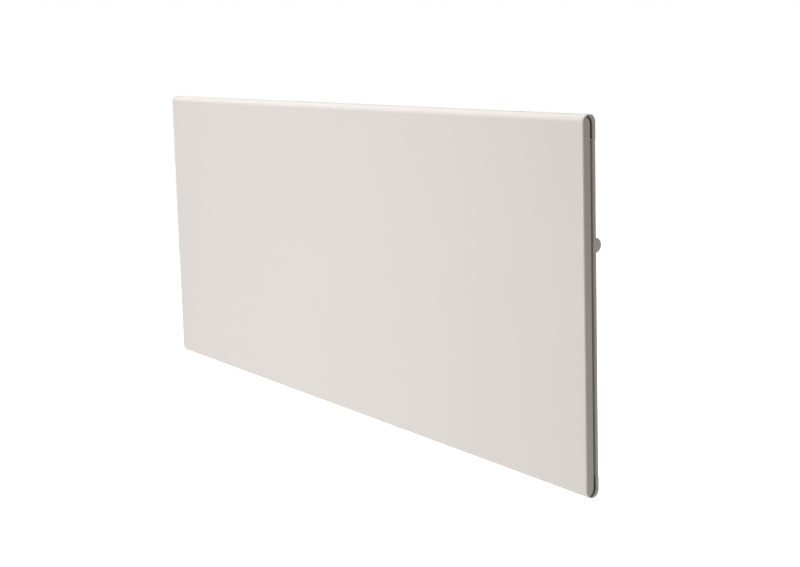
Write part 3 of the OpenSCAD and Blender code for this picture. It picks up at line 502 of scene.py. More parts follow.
# %% Finishing helper
def finish_piece(bm, name, body, slot, nodes=(), sheet=0, edge=0, edge_steps=2, look=None):
    """Makes an object of a mesh drawn in millimetres and ties it to the frame."""
    bmesh.ops.remove_doubles(bm, verts=bm.verts, dist=SLIVER)
    if not sheet:
        bmesh.ops.recalc_face_normals(bm, faces=bm.faces)
    bmesh.ops.scale(bm, vec=(MM, MM, MM), verts=bm.verts)
    mesh = bpy.data.meshes.new(name)
    bm.to_mesh(mesh)
    bm.free()
    mesh.shade_smooth()
    piece = bpy.data.objects.new(name, mesh)
    scene.collection.objects.link(piece)
    if edge:
        add_sheet_and_rounds(piece, sheet, edge, edge_steps)
    piece.data.set_sharp_from_angle(angle=math.radians(SHARP_OVER))
    even = piece.modifiers.new("even_shading", "WEIGHTED_NORMAL")
    even.keep_sharp = True
    piece.data.materials.clear()
    piece.data.materials.append(finishes[look or slot])
    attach(piece, body)
    if nodes:
        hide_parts(*nodes)
    print(name, "faces:", len(piece.data.polygons))
    return piece


# %% [markdown]
# ## The front cover
# The cover is one sheet of 1 mm steel. Its top and bottom edges are rolled to the rear over a
# radius of 8 mm, and its sides are folded back as flanges with rounded ends. A box with rounded
# edges would have the same outline, but no lips, groove or slits. So the pen draws the side
# view from the lip at the top over the front to the lip at the bottom, and the line is pulled
# across the width. The flange is a flat face of the same outline, and a bevel where both meet
# makes the fold. Behind the flange runs a shadow groove, and small end walls close the rolls
# next to it, with a narrow relief slit between them and the flange.

# %% Front cover sizes
HALF_W = 437.5
FRONT_Y = -84
REAR_Y = -66
TOP_Z = 200
ROLL_R = 8
LIP_TOP_Z = 174
LIP_BOTTOM_Z = -179
STRIP_Y = -70.2
COVER_T = 1
FOLD_R = 2
FOLD_STEPS = 6
LIP_STEPS = 8
ROLL_STEPS = 10
FLANGE_STEPS = 8
FLANGE_D = 10.2
FLANGE_R = 7
FLANGE_GAP = 2.6
NOTCH_D = 5.6
RELIEF_ANGLE = 2.2
roll_y = FRONT_Y + ROLL_R
roll_rear_y = REAR_Y - ROLL_R
roll_z = TOP_Z - ROLL_R
notch_y = FRONT_Y + NOTCH_D
notch_angle = math.degrees(math.asin((ROLL_R - NOTCH_D) / ROLL_R))
print("degrees from the top of the roll to the notch", round(notch_angle, 1))

# %% Front cover
cover = bmesh.new()
pen(cover, (HALF_W, REAR_Y, LIP_TOP_Z), [
    (HALF_W, REAR_Y, roll_z),
    ((HALF_W, roll_rear_y, roll_z), 90, LIP_STEPS),
    (HALF_W, roll_y, TOP_Z),
    ((HALF_W, roll_y, roll_z), notch_angle - RELIEF_ANGLE, 2),
    ((HALF_W, roll_y, roll_z), RELIEF_ANGLE, 1),
    ((HALF_W, roll_y, roll_z), 90 - notch_angle, ROLL_STEPS),
    (HALF_W, FRONT_Y, -roll_z),
    ((HALF_W, roll_y, -roll_z), 90 - notch_angle, ROLL_STEPS),
    ((HALF_W, roll_y, -roll_z), RELIEF_ANGLE, 1),
    ((HALF_W, roll_y, -roll_z), notch_angle - RELIEF_ANGLE, 2),
    (HALF_W, roll_rear_y, -TOP_Z),
    ((HALF_W, roll_rear_y, -roll_z), 90, LIP_STEPS),
    (HALF_W, REAR_Y, LIP_BOTTOM_Z),
])
side_view = cover.edges[:]
notch_z = [v.co.z for v in cover.verts if abs(v.co.y - notch_y) < NEAR]
pull(cover, side_view, (-2 * HALF_W, 0, 0))
print("edges in the side view", len(side_view), "notches at", notch_z)

# %% End walls of the rolls
WALL_R = 9
WALL_GAP = 1.2
WALL_STEPS = 12
relief_turn = math.radians(notch_angle - RELIEF_ANGLE)
relief_y = roll_y - ROLL_R * math.sin(relief_turn)
relief_z = roll_z + ROLL_R * math.cos(relief_turn)
wall_y = STRIP_Y - WALL_R
wall_z = TOP_Z - WALL_GAP - WALL_R
wall_turn = math.degrees(math.acos((relief_y - wall_y) / WALL_R))
side_faces = []
for up, lip_z in ((1, LIP_TOP_Z), (-1, LIP_BOTTOM_Z)):
    pen(cover, (HALF_W, REAR_Y, lip_z), [
        (HALF_W, STRIP_Y, lip_z),
        (HALF_W, STRIP_Y, up * wall_z),
        ((HALF_W, wall_y, up * wall_z), up * wall_turn, WALL_STEPS),
        (HALF_W, relief_y, up * relief_z),
    ])
    bmesh.ops.remove_doubles(cover, verts=cover.verts, dist=NEAR)
    wall_rim = edges_where(cover, lambda v: v.co.x > HALF_W - NEAR
                           and v.co.y > relief_y - NEAR and v.co.z * up > 0)
    side_faces += bmesh.ops.contextual_create(cover, geom=wall_rim)["faces"]
print("corners of the end walls", [len(f.verts) for f in side_faces])

# %% Side flange of the cover
flange_y = FRONT_Y + FLANGE_D - FLANGE_R
flange_z = TOP_Z - FLANGE_GAP - FLANGE_R
flange_start = math.degrees(math.asin((notch_y - flange_y) / FLANGE_R))
flange_rise = FLANGE_R * math.cos(math.radians(flange_start))
pen(cover, (HALF_W, notch_y, max(notch_z)), [
    (HALF_W, notch_y, flange_z + flange_rise),
    ((HALF_W, flange_y, flange_z), -(90 - flange_start), FLANGE_STEPS),
    (HALF_W, FRONT_Y + FLANGE_D, -flange_z),
    ((HALF_W, flange_y, -flange_z), -(90 - flange_start), FLANGE_STEPS),
    (HALF_W, notch_y, min(notch_z)),
])
bmesh.ops.remove_doubles(cover, verts=cover.verts, dist=NEAR)
# The rim of the flange is its own new line and the side view in front of the notches.
side_edges = edges_where(cover, lambda v: v.co.x > HALF_W - NEAR
                         and v.co.y < FRONT_Y + FLANGE_D + NEAR)
rim = [e for e in side_edges
       if not e.link_faces or all(v.co.y < notch_y + NEAR for v in e.verts)]
side_faces += bmesh.ops.contextual_create(cover, geom=rim)["faces"]
print("side faces", len(side_faces), "corners of the flange", len(side_faces[-1].verts))

# %% Both sides of the cover and its folds
bmesh.ops.mirror(cover, geom=parts_of(side_faces), merge_dist=NEAR, axis="X")
bmesh.ops.remove_doubles(cover, verts=cover.verts, dist=NEAR)
face_away(cover, (0, (FRONT_Y + REAR_Y) / 2, 0))
in_front = edges_where(cover, lambda v: abs(abs(v.co.x) - HALF_W) < NEAR
                       and v.co.y < notch_y + NEAR)
fold_edges = [e for e in in_front if len(e.link_faces) == 2
              and abs(e.verts[0].co.x - e.verts[1].co.x) < NEAR]
print("fold edges", len(fold_edges))
round_edges(cover, fold_edges, FOLD_R, FOLD_STEPS)
finish_piece(cover, "cover_shell", "heater", "cover_enamel", ["front_cover"], sheet=COVER_T,
             edge=0.2)

# %% [markdown]
# ## The back panel
# A second, thinner sheet closes the back of the cover. Its sides are folded three times: a
# narrow strip that shows at the edge, a step, and a flange that sits inside the dark groove.
# Its top and bottom are set in a little, as tongues that the lips of the cover hold. It could
# be three plates side by side, but then no fold would join them. So the pen draws its plan
# once and the line is pulled up to the full height. The flange in the groove gets a dark
# second material as painted shade, for the shade that falls deep in the groove.

# %% Folding a sheet
def folded_sheet(half_plan, low, high, folds, centre=0):
    """Draws half a plan and its mirror image, pulls it up and rounds its folds."""
    plan = half_plan + [(-x, y) for x, y in reversed(half_plan)]
    points = [(centre + x, y, low) for x, y in plan]
    bm = bmesh.new()
    pen(bm, points[0], points[1:])
    pull(bm, bm.edges[:], (0, 0, high - low))
    for point, radius in zip(points[1:-1], folds):
        round_edges(bm, edges_along(bm, Z_AXIS, point), radius)
    return bm


def cut_at(bm, axis, value, keep):
    """Cuts the faces that keep picks, along the plane where one coordinate has a value."""
    bmesh.ops.bisect_plane(bm, geom=parts_of([f for f in bm.faces if keep(f)]),
                           dist=TINY, plane_co=Vector(axis) * value, plane_no=axis)


# %% Back panel
PANEL_T = 0.8
PANEL_LOW = -178.7
PANEL_HIGH = 173.7
PANEL_FOLD = 0.9
NEST_X = 433.7
NEST_D = 7
TONGUE_X = 425.5
TONGUES = ((PANEL_HIGH, 17.3), (PANEL_LOW, -12.3))
JOGGLE = 1.15

panel = folded_sheet([(NEST_X, STRIP_Y - NEST_D), (NEST_X, STRIP_Y), (HALF_W, STRIP_Y),
                      (HALF_W, REAR_Y)], PANEL_LOW, PANEL_HIGH, [PANEL_FOLD] * 6)
for side in (-1, 1):
    cut_at(panel, X_AXIS, side * TONGUE_X, lambda f: f.calc_center_median().y > REAR_Y - NEAR)
for end_z, reach in TONGUES:
    tongue = edges_along(panel, X_AXIS, (0, REAR_Y, end_z), longer=TONGUE_X)
    pull(panel, tongue, (0, -JOGGLE, 0))
    step = edges_along(panel, X_AXIS, (0, REAR_Y - JOGGLE, end_z), longer=TONGUE_X)
    pull(panel, step, (0, 0, reach))
face_away(panel, (0, (STRIP_Y + REAR_Y) / 2 - NEST_D, 0))
rear_panel = finish_piece(panel, "rear_panel", "heater", "rear_enamel", ["back_panel"],
                          sheet=PANEL_T, edge=0.15)

# %% Painted shade in the groove
# The flange inside the groove gets a dark material as painted shade, for the shade deep in the
# groove.
rear_panel.data.materials.append(finishes["groove_painted_shade"])
in_groove = [p for p in rear_panel.data.polygons
             if p.center.y < STRIP_Y * MM and abs(p.center.x) < (NEST_X + 0.1) * MM]
for polygon in in_groove:
    polygon.material_index = 1
print("faces with painted shade", len(in_groove))

# %% [markdown]
# ## The air casing
# The casing is a deep tray that guides the warm air and is screwed to the back panel by its
# side flanges. The wall hooks reach into it through four slots. A boolean could punch them, but
# it leaves long thin faces on a wide sheet. Here the flat back is cut along the slots' edges
# and the piece between the cuts is taken out, so all faces stay rectangles.

# %% Punching a window
PUNCH_REACH = 0.5


def punch(bm, sheet_y, low, high):
    """Cuts a window between two corners, each an x and a z, into the sheet at sheet_y."""
    def on_sheet(face):
        return abs(face.calc_center_median().y - sheet_y) < PUNCH_REACH

    for axis, at in ((X_AXIS, 0), (Z_AXIS, 1)):
        for value in (low[at], high[at]):
            cut_at(bm, axis, value, on_sheet)
    window = [f for f in bm.faces if on_sheet(f)
              and low[0] < f.calc_center_median().x < high[0]
              and low[1] < f.calc_center_median().z < high[1]]
    bmesh.ops.delete(bm, geom=window, context="FACES")


# %% Air casing
CASING_X = 394.5
CASING_Y = -22
CASING_LOW = -172
CASING_HIGH = 166
CASING_FLANGE_Y = -65.05
CASING_FLANGE_W = 14
CASING_BEND = 3
FLANGE_BEND = 1.2
CORNER_R = 3
HOOK_X = 240
HOOK_ZS = (95, -115)
HOOK_SLOT_HALF = 9.5
HOOK_SLOT_DOWN = 3
HOOK_SLOT_UP = 4.7

casing = folded_sheet([(CASING_X + CASING_FLANGE_W, CASING_FLANGE_Y),
                       (CASING_X, CASING_FLANGE_Y), (CASING_X, CASING_Y)],
                      CASING_LOW, CASING_HIGH,
                      [FLANGE_BEND, CASING_BEND, CASING_BEND, FLANGE_BEND])
round_corners(casing, [v for v in casing.verts
                       if abs(v.co.x) > CASING_X + CASING_FLANGE_W - NEAR], CORNER_R)
for side in (-1, 1):
    for hook_z in HOOK_ZS:
        punch(casing, CASING_Y, (side * HOOK_X - HOOK_SLOT_HALF, hook_z - HOOK_SLOT_DOWN),
              (side * HOOK_X + HOOK_SLOT_HALF, hook_z + HOOK_SLOT_UP))
face_away(casing, (0, (CASING_Y + REAR_Y) / 2, 0))
finish_piece(casing, "casing_shell", "heater", "rear_enamel", ["rear_casing"], sheet=PANEL_T,
             edge=0.2)

# %% [markdown]
# ## The grilles
# Warm air leaves through a row of punched slots at the top, and room air enters through a row
# at the bottom. Each grille is a strip with slots whose long edges are folded. Punching the
# slots one by one would cut the strip into slices. Instead they are drawn as circles that are
# pulled apart, and a triangle fill closes the sheet around them in one go. The folded edges
# are added afterwards, so the folds run along clean quads.

# %% Grille sizes
SLOT_PITCH = 9
SLOT_W = 4.2
SLOT_L = 32.9
FIRST_SLOT = -380.5
TOP_GRILLE = {"z": 165, "slots": 85}
BOTTOM_GRILLE = {"z": -171, "slots": 77}
GRILLE_X = 393.55
GRILLE_LIP_X = 391
GRILLE_Y = (-65.85, -22.95)
GRILLE_RIM = 2.5
GRILLE_LIP = 9
GRILLE_FOLD = 1.5
DUCT_DEPTH = 100
GLAND_X = 356.5
GLAND_Y = -44.4
GLAND_HOLE_R = 8.2


# %% Outline of a slot
def slot_outline(bm, place, length, width, along, segments):
    """A round-ended slot in the plane that the matrix of place sets up."""
    made = bmesh.ops.create_circle(bm, segments=segments, radius=width / 2,
                                   matrix=place)["verts"]
    along = Vector(along)
    for side in (-1, 1):
        half = [v for v in made if (v.co - place.translation).dot(along) * side > TINY]
        bmesh.ops.translate(bm, verts=half, vec=along * side * (length - width) / 2)


print("length of a row of slots", (TOP_GRILLE["slots"] - 1) * SLOT_PITCH + SLOT_W)


# %% One grille
def grille(name, node, up, z, slots):
    """A slotted strip at height z, whose long edges are folded away from up."""
    bm = bmesh.new()
    low_y, high_y = GRILLE_Y[0] + GRILLE_RIM, GRILLE_Y[1] - GRILLE_RIM
    xs = [-GRILLE_X, -GRILLE_LIP_X, GRILLE_LIP_X, GRILLE_X]
    corners = [(x, low_y, z) for x in xs] + [(x, high_y, z) for x in reversed(xs)]
    outline(bm, corners)
    for i in range(slots):
        place = Matrix.Translation((FIRST_SLOT + i * SLOT_PITCH, sum(GRILLE_Y) / 2, z))
        slot_outline(bm, place, SLOT_L, SLOT_W, Y_AXIS, segments=16)
    if up < 0:
        bmesh.ops.create_circle(bm, segments=32, radius=GLAND_HOLE_R,
                                matrix=Matrix.Translation((GLAND_X, GLAND_Y, z)))
    bmesh.ops.triangle_fill(bm, edges=bm.edges[:], use_beauty=True, normal=Z_AXIS)
    for edge_y, way in ((low_y, -1), (high_y, 1)):
        fold_y = edge_y + way * GRILLE_RIM
        pull(bm, edges_along(bm, X_AXIS, (0, edge_y, z), longer=GRILLE_LIP_X),
             (0, way * GRILLE_RIM, 0))
        fold = edges_along(bm, X_AXIS, (0, fold_y, z), longer=GRILLE_LIP_X)
        pull(bm, fold, (0, 0, -up * GRILLE_LIP))
        round_edges(bm, edges_along(bm, X_AXIS, (0, fold_y, z)), GRILLE_FOLD)
    face_away(bm, (0, sum(GRILLE_Y) / 2, z - up * DUCT_DEPTH))
    finish_piece(bm, name, "heater", "rear_enamel", [node], sheet=PANEL_T, edge=0.2,
                 edge_steps=1)


# %% Both grilles
grille("top_grille", "outlet_grille", 1, **TOP_GRILLE)
grille("bottom_grille", "inlet_grille", -1, **BOTTOM_GRILLE)

# %% [markdown]
# ## Screws
# The sheets are held by pan-head screws with a cross recess. A head could be a sphere cut flat,
# but its rim and its recess would be poor. Here rings grow from the rim of the flat top down to
# the thread, while the cross is drawn, filled and pressed in. Every screw is turned a little
# differently, because nobody lines them up.

# %% Screw sizes
SCREW_TOP_R = 1.9
SCREW_TOP = 1.6
# Each ring grows from the last one, by a factor in width and a step in height.
SCREW_RINGS = ((1.24, -0.12), (1.19, -0.35), (1.09, -0.5), (1.015, -0.63), (0.47, 0.0),
               (1.0, -6.0))
SCREW_TURN = 0.9
CROSS = 1.4
CROSS_ARM = CROSS * 0.3
CROSS_DEPTH = 1.1
CROSS_TAPER = 0.75
TO_WALL = Matrix.Rotation(math.radians(-90), 4, "X")


# %% Adding a small mesh to a larger one
def add_copy(bm, one, place):
    """Moves a small closed mesh to its place inside a larger one."""
    bmesh.ops.recalc_face_normals(one, faces=one.faces)
    bmesh.ops.transform(one, matrix=place, verts=one.verts)
    spare = bpy.data.meshes.new("spare")
    one.to_mesh(spare)
    one.free()
    bm.from_mesh(spare)
    bpy.data.meshes.remove(spare)


# %% One screw
def pan_screw(bm, place, turn):
    """A screw at a place on the rear side of a sheet, with its head towards the wall."""
    one = bmesh.new()
    top = bmesh.ops.create_circle(one, segments=16, radius=SCREW_TOP_R,
                                  matrix=Matrix.Translation((0, 0, SCREW_TOP)))["verts"]
    ring = list(dict.fromkeys(e for v in top for e in v.link_edges))
    a, b = CROSS_ARM, CROSS
    cross = [(a, a), (a, b), (-a, b), (-a, a), (-b, a), (-b, -a), (-a, -a), (-a, -b), (a, -b),
             (a, -a), (b, -a), (b, a)]
    outline(one, [(x, y, SCREW_TOP) for x, y in cross])
    cross_edges = [e for e in one.edges if e not in ring]
    bmesh.ops.triangle_fill(one, edges=one.edges[:], use_beauty=True, normal=Z_AXIS)
    sunk = ends_of(pull(one, cross_edges, (0, 0, -CROSS_DEPTH)))
    bmesh.ops.scale(one, vec=(CROSS_TAPER, CROSS_TAPER, 1), verts=sunk)
    bmesh.ops.contextual_create(one, geom=edges_where(one, lambda v: v in sunk))
    for factor, drop in SCREW_RINGS:
        open_edges = [e for e in ring if len(e.link_faces) < 2
                      and abs(e.verts[0].co.z - e.verts[1].co.z) < TINY]
        ring = pull(one, open_edges, (0, 0, drop))
        bmesh.ops.scale(one, vec=(factor, factor, 1), verts=ends_of(ring))
    bmesh.ops.contextual_create(one, geom=[e for e in ring if len(e.link_faces) < 2])
    add_copy(bm, one, Matrix.Translation(place) @ TO_WALL @ Matrix.Rotation(turn, 4, "Z"))


# %% All screws
SCREWS = {
    "cover_screw": (REAR_Y, (-367.5, -122.5, 122.5, 367.5), (181.5, -186.5)),
    "casing_screw": (CASING_FLANGE_Y, (-401.5, 401.5), (-152, -77.5, -3, 71.5, 146)),
    "grille_screw": (CASING_Y, (-314.5, 0, 314.5), (160, -166)),
    "element_screw": (CASING_Y, (-320.5, 264.5), (-148, -72)),
}
for kind, (sheet_y, xs, zs) in SCREWS.items():
    screws = bmesh.new()
    for i, place in enumerate([(x, sheet_y, z) for x in xs for z in zs]):
        pan_screw(screws, place, SCREW_TURN * i)
    finish_piece(screws, kind + "_heads", "heater", "zinc_screws", [kind + "s"])

# %% [markdown]
# ## The wall bracket
# The heater hangs on two upright rails with slanted hooks, and two flat crossbars hold the
# rails at the right distance and carry the screw slots. A rail is a hat section, so it could be
# one extrusion, but a bent sheet shows soft folds. The pen draws its plan as a line, and the
# hooks are tongues that are cut free in the web and bent out at 45 degrees.

# %% Sizes of the rails
RAIL_T = 1.5
RAIL_HALF = 16
RAIL_FOOT = 12
RAIL_WEB_Y = -20.3
RAIL_LOW = -153
RAIL_HIGH = 147
HOOK_W = 18
HOOK_OUT = 9.2
HOOK_BEND = 1.2
WINDOW_HALF = 9.5
WINDOW_UP = 14
RAIL_BEND = 2.5
FOOT_BEND = 1
BEHIND_WALL = 10
HALF_RAIL = [(RAIL_HALF + RAIL_FOOT, -2 * RAIL_T), (RAIL_HALF, -2 * RAIL_T),
             (RAIL_HALF, RAIL_WEB_Y)]
print("rail height", RAIL_HIGH - RAIL_LOW, "reach from the wall", -RAIL_WEB_Y)


# %% One slanted hook
def slanted_hook(bm, x, hook_z):
    """Cuts a window into the web of a rail and bends a hook out of its lower edge."""
    for side in (-1, 1):
        cut_at(bm, X_AXIS, x + side * HOOK_W / 2,
               lambda f: f.calc_center_median().y < RAIL_WEB_Y + NEAR)
    punch(bm, RAIL_WEB_Y, (x - WINDOW_HALF, hook_z), (x + WINDOW_HALF, hook_z + WINDOW_UP))
    root = [e for e in edges_along(bm, X_AXIS, (0, RAIL_WEB_Y, hook_z))
            if all(abs(v.co.x - x) < HOOK_W / 2 + NEAR for v in e.verts)]
    tip = pull(bm, root, (0, -HOOK_OUT, HOOK_OUT))
    round_corners(bm, [v for v in ends_of(tip) if abs(v.co.z - hook_z - HOOK_OUT) < NEAR
                       and abs(abs(v.co.x - x) - HOOK_W / 2) < NEAR], CORNER_R)
    round_edges(bm, root, HOOK_BEND, 3)


# %% Bracket rails
for side, hand in ((-1, "left"), (1, "right")):
    rail_x = side * HOOK_X
    rail = folded_sheet(HALF_RAIL, RAIL_LOW, RAIL_HIGH,
                        [FOOT_BEND, RAIL_BEND, RAIL_BEND, FOOT_BEND], rail_x)
    round_corners(rail, [v for v in rail.verts
                         if abs(v.co.x - rail_x) > RAIL_HALF + RAIL_FOOT - NEAR], CORNER_R)
    for hook_z in HOOK_ZS:
        slanted_hook(rail, rail_x, hook_z)
    face_away(rail, (rail_x, BEHIND_WALL, 0))
    finish_piece(rail, "rail_" + hand, "wall_bracket", "bracket_steel",
                 ["bracket_rail_" + hand], sheet=RAIL_T, edge=0.25)

# %% [markdown]
# ## Crossbars
# A crossbar is a flat strip with rounded corners and two long slots, so the screws can be moved
# a little sideways in the wall, and a hole for each rivet. It could be a stretched cube with
# holes cut by booleans. Drawing its outline and holes, filling between them and pushing the
# face out to the thickness of the strip takes one step each and leaves clean rims.

# %% Crossbars
BAR_HALF_L = 272
BAR_H = 24
BAR_ZS = (80, -80)
WALL_SLOT_X = 150
WALL_SLOT = (12, 5.5)
RIVET_X = 22
RIVET_HOLE_R = 2.1
TO_ROOM = Matrix.Rotation(math.radians(90), 4, "X")
for name, bar_z in zip(("upper", "lower"), BAR_ZS):
    bar = bmesh.new()
    outline(bar, [(x * BAR_HALF_L, -RAIL_T, bar_z + z * BAR_H / 2)
                  for x, z in ((-1, -1), (1, -1), (1, 1), (-1, 1))])
    round_corners(bar, bar.verts[:], CORNER_R)
    for side in (-1, 1):
        slot_outline(bar, Matrix.Translation((side * WALL_SLOT_X, -RAIL_T, bar_z)) @ TO_ROOM,
                     *WALL_SLOT, X_AXIS, segments=24)
        for rivet_x in (side * HOOK_X - RIVET_X, side * HOOK_X + RIVET_X):
            bmesh.ops.create_circle(bar, segments=20, radius=RIVET_HOLE_R,
                                    matrix=Matrix.Translation((rivet_x, -RAIL_T, bar_z))
                                    @ TO_ROOM)
    bmesh.ops.triangle_fill(bar, edges=bar.edges[:], use_beauty=True, normal=Y_AXIS)
    thicken(bar, bar.faces[:], (0, RAIL_T, 0))
    finish_piece(bar, "crossbar_" + name, "wall_bracket", "bracket_steel",
                 ["bracket_crossbar_" + name], edge=0.25)

# %% [markdown]
# ## Rivets
# Eight rivets join rails and crossbars. A rivet is round about its axis, so a half outline that
# is spun once makes head and shank together, as a lathe would. Two cylinders would do from far
# away, but would have no domed head. The same helper makes the knob, the dial and the gland.

# %% Lathe helper
def lathe(bm, stations, place, steps):
    """Spins a half outline of heights and radii about the Z axis of the matrix of place."""
    one = bmesh.new()
    rings = [(radius, 0, height) for height, radius in stations]
    pen(one, rings[0], rings[1:])
    bmesh.ops.spin(one, geom=one.verts[:] + one.edges[:], cent=(0, 0, 0), axis=Z_AXIS,
                   angle=math.radians(360), steps=steps, use_merge=True)
    bmesh.ops.remove_doubles(one, verts=one.verts, dist=TINY)
    add_copy(bm, one, place)


# %% Rivets
RIVET_SECTION = ((-2.8, 0), (-2.8, 2), (0, 2), (0, 3.4), (0.2, 3.6), (0.5, 3.45), (0.85, 2.8),
                 (1.1, 1.6), (1.2, 0))
rivets = bmesh.new()
for rail_x in (-HOOK_X, HOOK_X):
    for side in (-1, 1):
        for bar_z in BAR_ZS:
            rivet_place = Matrix.Translation((rail_x + side * RIVET_X, -2 * RAIL_T, bar_z))
            lathe(rivets, RIVET_SECTION, rivet_place @ TO_ROOM, steps=20)
finish_piece(rivets, "rivet_heads", "wall_bracket", "zinc_screws", ["bracket_rivets"])

# %% [markdown]
# ## Rubber pads
# A ribbed pad above each hook keeps the heater from rattling on the rails. Its ribs could be
# bump in the material, but they show at its sides too. The pen draws the notched side view of
# a pad, the outline is filled, and the face is pushed out to the pad's width.

# %% Rubber pads
PAD_HALF = 12
PAD_T = 1.5
PAD_H = 20
PAD_UP = 19
PAD_RIB = 2.5
PAD_NOTCH = 0.5
pad_front = RAIL_WEB_Y - PAD_T
notches = [i * PAD_RIB for i in range(1, int(PAD_H / PAD_RIB))]
pads = bmesh.new()
for rail_x in (-HOOK_X, HOOK_X):
    for hook_z in HOOK_ZS:
        low = hook_z + PAD_UP
        side_view = [(RAIL_WEB_Y, low), (pad_front, low)]
        for up in notches:
            side_view += [(pad_front, low + up - PAD_NOTCH),
                          (pad_front + PAD_NOTCH, low + up),
                          (pad_front, low + up + PAD_NOTCH)]
        side_view += [(pad_front, low + PAD_H), (RAIL_WEB_Y, low + PAD_H)]
        start = len(pads.edges)
        outline(pads, [(rail_x - PAD_HALF, y, z) for y, z in side_view])
        pads.edges.ensure_lookup_table()
        made = bmesh.ops.contextual_create(pads, geom=pads.edges[start:])["faces"]
        thicken(pads, made, (2 * PAD_HALF, 0, 0))
finish_piece(pads, "rubber_pads", "wall_bracket", "black_rubber", ["bracket_pads"], edge=0.2)

# %% [markdown]
# ## The thermostat knob
# The knob is moulded plastic: a skirt, a grip with fine flutes and a slightly domed end. The
# flutes could be cut by turned copies of a cutter. It is quicker to spin the knob in 72 steps
# and to push every third line of points on the grip inwards, which makes an even V at each. A
# dark line is printed on its end, so the setting shows from the side.

# %% Knob
KNOB_PLACE = (396.3, -43.8, 60)
KNOB_STEPS = 72
KNOB_REACH = 19.7
GRIP_R = 8.25
KNOB_SECTION = ((14.8, 0), (14.8, 3.05), (4, 3.05), (4, 8.68), (0, 8.68), (0, 11.6), (0.4, 12),
                (4.4, 12), (4.9, 11.6), (5, 9), (5.3, GRIP_R + 0.15), (5.9, GRIP_R),
                (6.6, GRIP_R), (7.2, GRIP_R), (17.1, GRIP_R), (17.7, GRIP_R),
                (18.5, GRIP_R - 0.1), (19.1, GRIP_R - 0.4), (19.5, GRIP_R - 0.9),
                (KNOB_REACH - 0.05, GRIP_R - 1.4), (KNOB_REACH, 4.8), (KNOB_REACH, 0))
FLUTE_FROM = 7.1
FLUTE_TO = 17.2
FLUTE_IN = 0.55
FLUTE_EVERY = 3
TO_RIGHT = Matrix.Rotation(math.radians(90), 4, "Y")
knob = bmesh.new()
lathe(knob, KNOB_SECTION, TO_RIGHT, KNOB_STEPS)
for vert in knob.verts:
    off = math.hypot(vert.co.y, vert.co.z)
    line = round(math.degrees(math.atan2(vert.co.z, vert.co.y)) / 360 * KNOB_STEPS)
    on_grip = FLUTE_FROM < vert.co.x < FLUTE_TO and off > GRIP_R - NEAR
    if on_grip and line % FLUTE_EVERY == 0:
        vert.co.y *= (off - FLUTE_IN) / off
        vert.co.z *= (off - FLUTE_IN) / off
bmesh.ops.translate(knob, verts=knob.verts, vec=KNOB_PLACE)
finish_piece(knob, "knob_body", "knob", "knob_plastic", ["thermostat_knob"])

# %% [markdown]
# ## The dial ring
# A printed plastic ring sits on the casing wall around the knob. The print is generic: numbers
# from 1 to 6, a short line at each and a frost mark at the start. It could be a picture on the
# ring, but thin raised shapes stay crisp from near and need no picture. Print has no real
# thickness, so they stand only a few hundredths of a millimetre proud, as ink does.

# %% Dial ring
DIAL_R = 16.5
DIAL_HOLE_R = 5.2
DIAL_X = (394.65, 395.7)
DIAL_SECTION = ((0, DIAL_HOLE_R), (0, DIAL_R), (0.7, DIAL_R), (1.05, DIAL_R - 0.35),
                (1.05, DIAL_HOLE_R + 0.2), (0.85, DIAL_HOLE_R), (0, DIAL_HOLE_R))
dial = bmesh.new()
lathe(dial, DIAL_SECTION, Matrix.Translation((DIAL_X[0], *KNOB_PLACE[1:])) @ TO_RIGHT, steps=64)
finish_piece(dial, "dial_disc", "heater", "dial_plastic", ["dial_ring"])

# %% Helpers for print
PRINT_T = 0.04
DIAL_START = 225
DIAL_SWEEP = 270
DIAL_FACE = Matrix(((0, 0, 1, 0), (1, 0, 0, 0), (0, 1, 0, 0), (0, 0, 0, 1)))


def on_dial(radius, turn, x=DIAL_X[1]):
    """A matrix on the dial's face at a radius and at degrees clockwise from the start."""
    angle = math.radians(DIAL_START - turn)
    step = Matrix.Translation((radius * math.cos(angle), radius * math.sin(angle), 0))
    return (Matrix.Translation((x, *KNOB_PLACE[1:])) @ DIAL_FACE @ step
            @ Matrix.Rotation(angle - math.radians(90), 4, "Z"))


def print_bar(bm, place, width, height):
    """A thin raised bar, centred on its place."""
    size = Matrix.Diagonal((width, height, PRINT_T, 1))
    lift = Matrix.Translation((0, 0, PRINT_T / 2))
    bmesh.ops.create_cube(bm, size=1, matrix=place @ lift @ size)


# %% Helper for printed numbers
def print_number(bm, figure, place, size):
    """A figure in the built-in font, as a thin raised mesh."""
    font = bpy.data.curves.new("figure", "FONT")
    font.body = figure
    font.size = size
    font.align_x = "CENTER"
    font.align_y = "CENTER"
    font.extrude = PRINT_T / 2
    holder = bpy.data.objects.new("figure", font)
    spare = bpy.data.meshes.new_from_object(holder)
    spare.transform(place @ Matrix.Translation((0, 0, PRINT_T / 2)))
    bm.from_mesh(spare)
    bpy.data.objects.remove(holder)
    bpy.data.curves.remove(font)
    bpy.data.meshes.remove(spare)


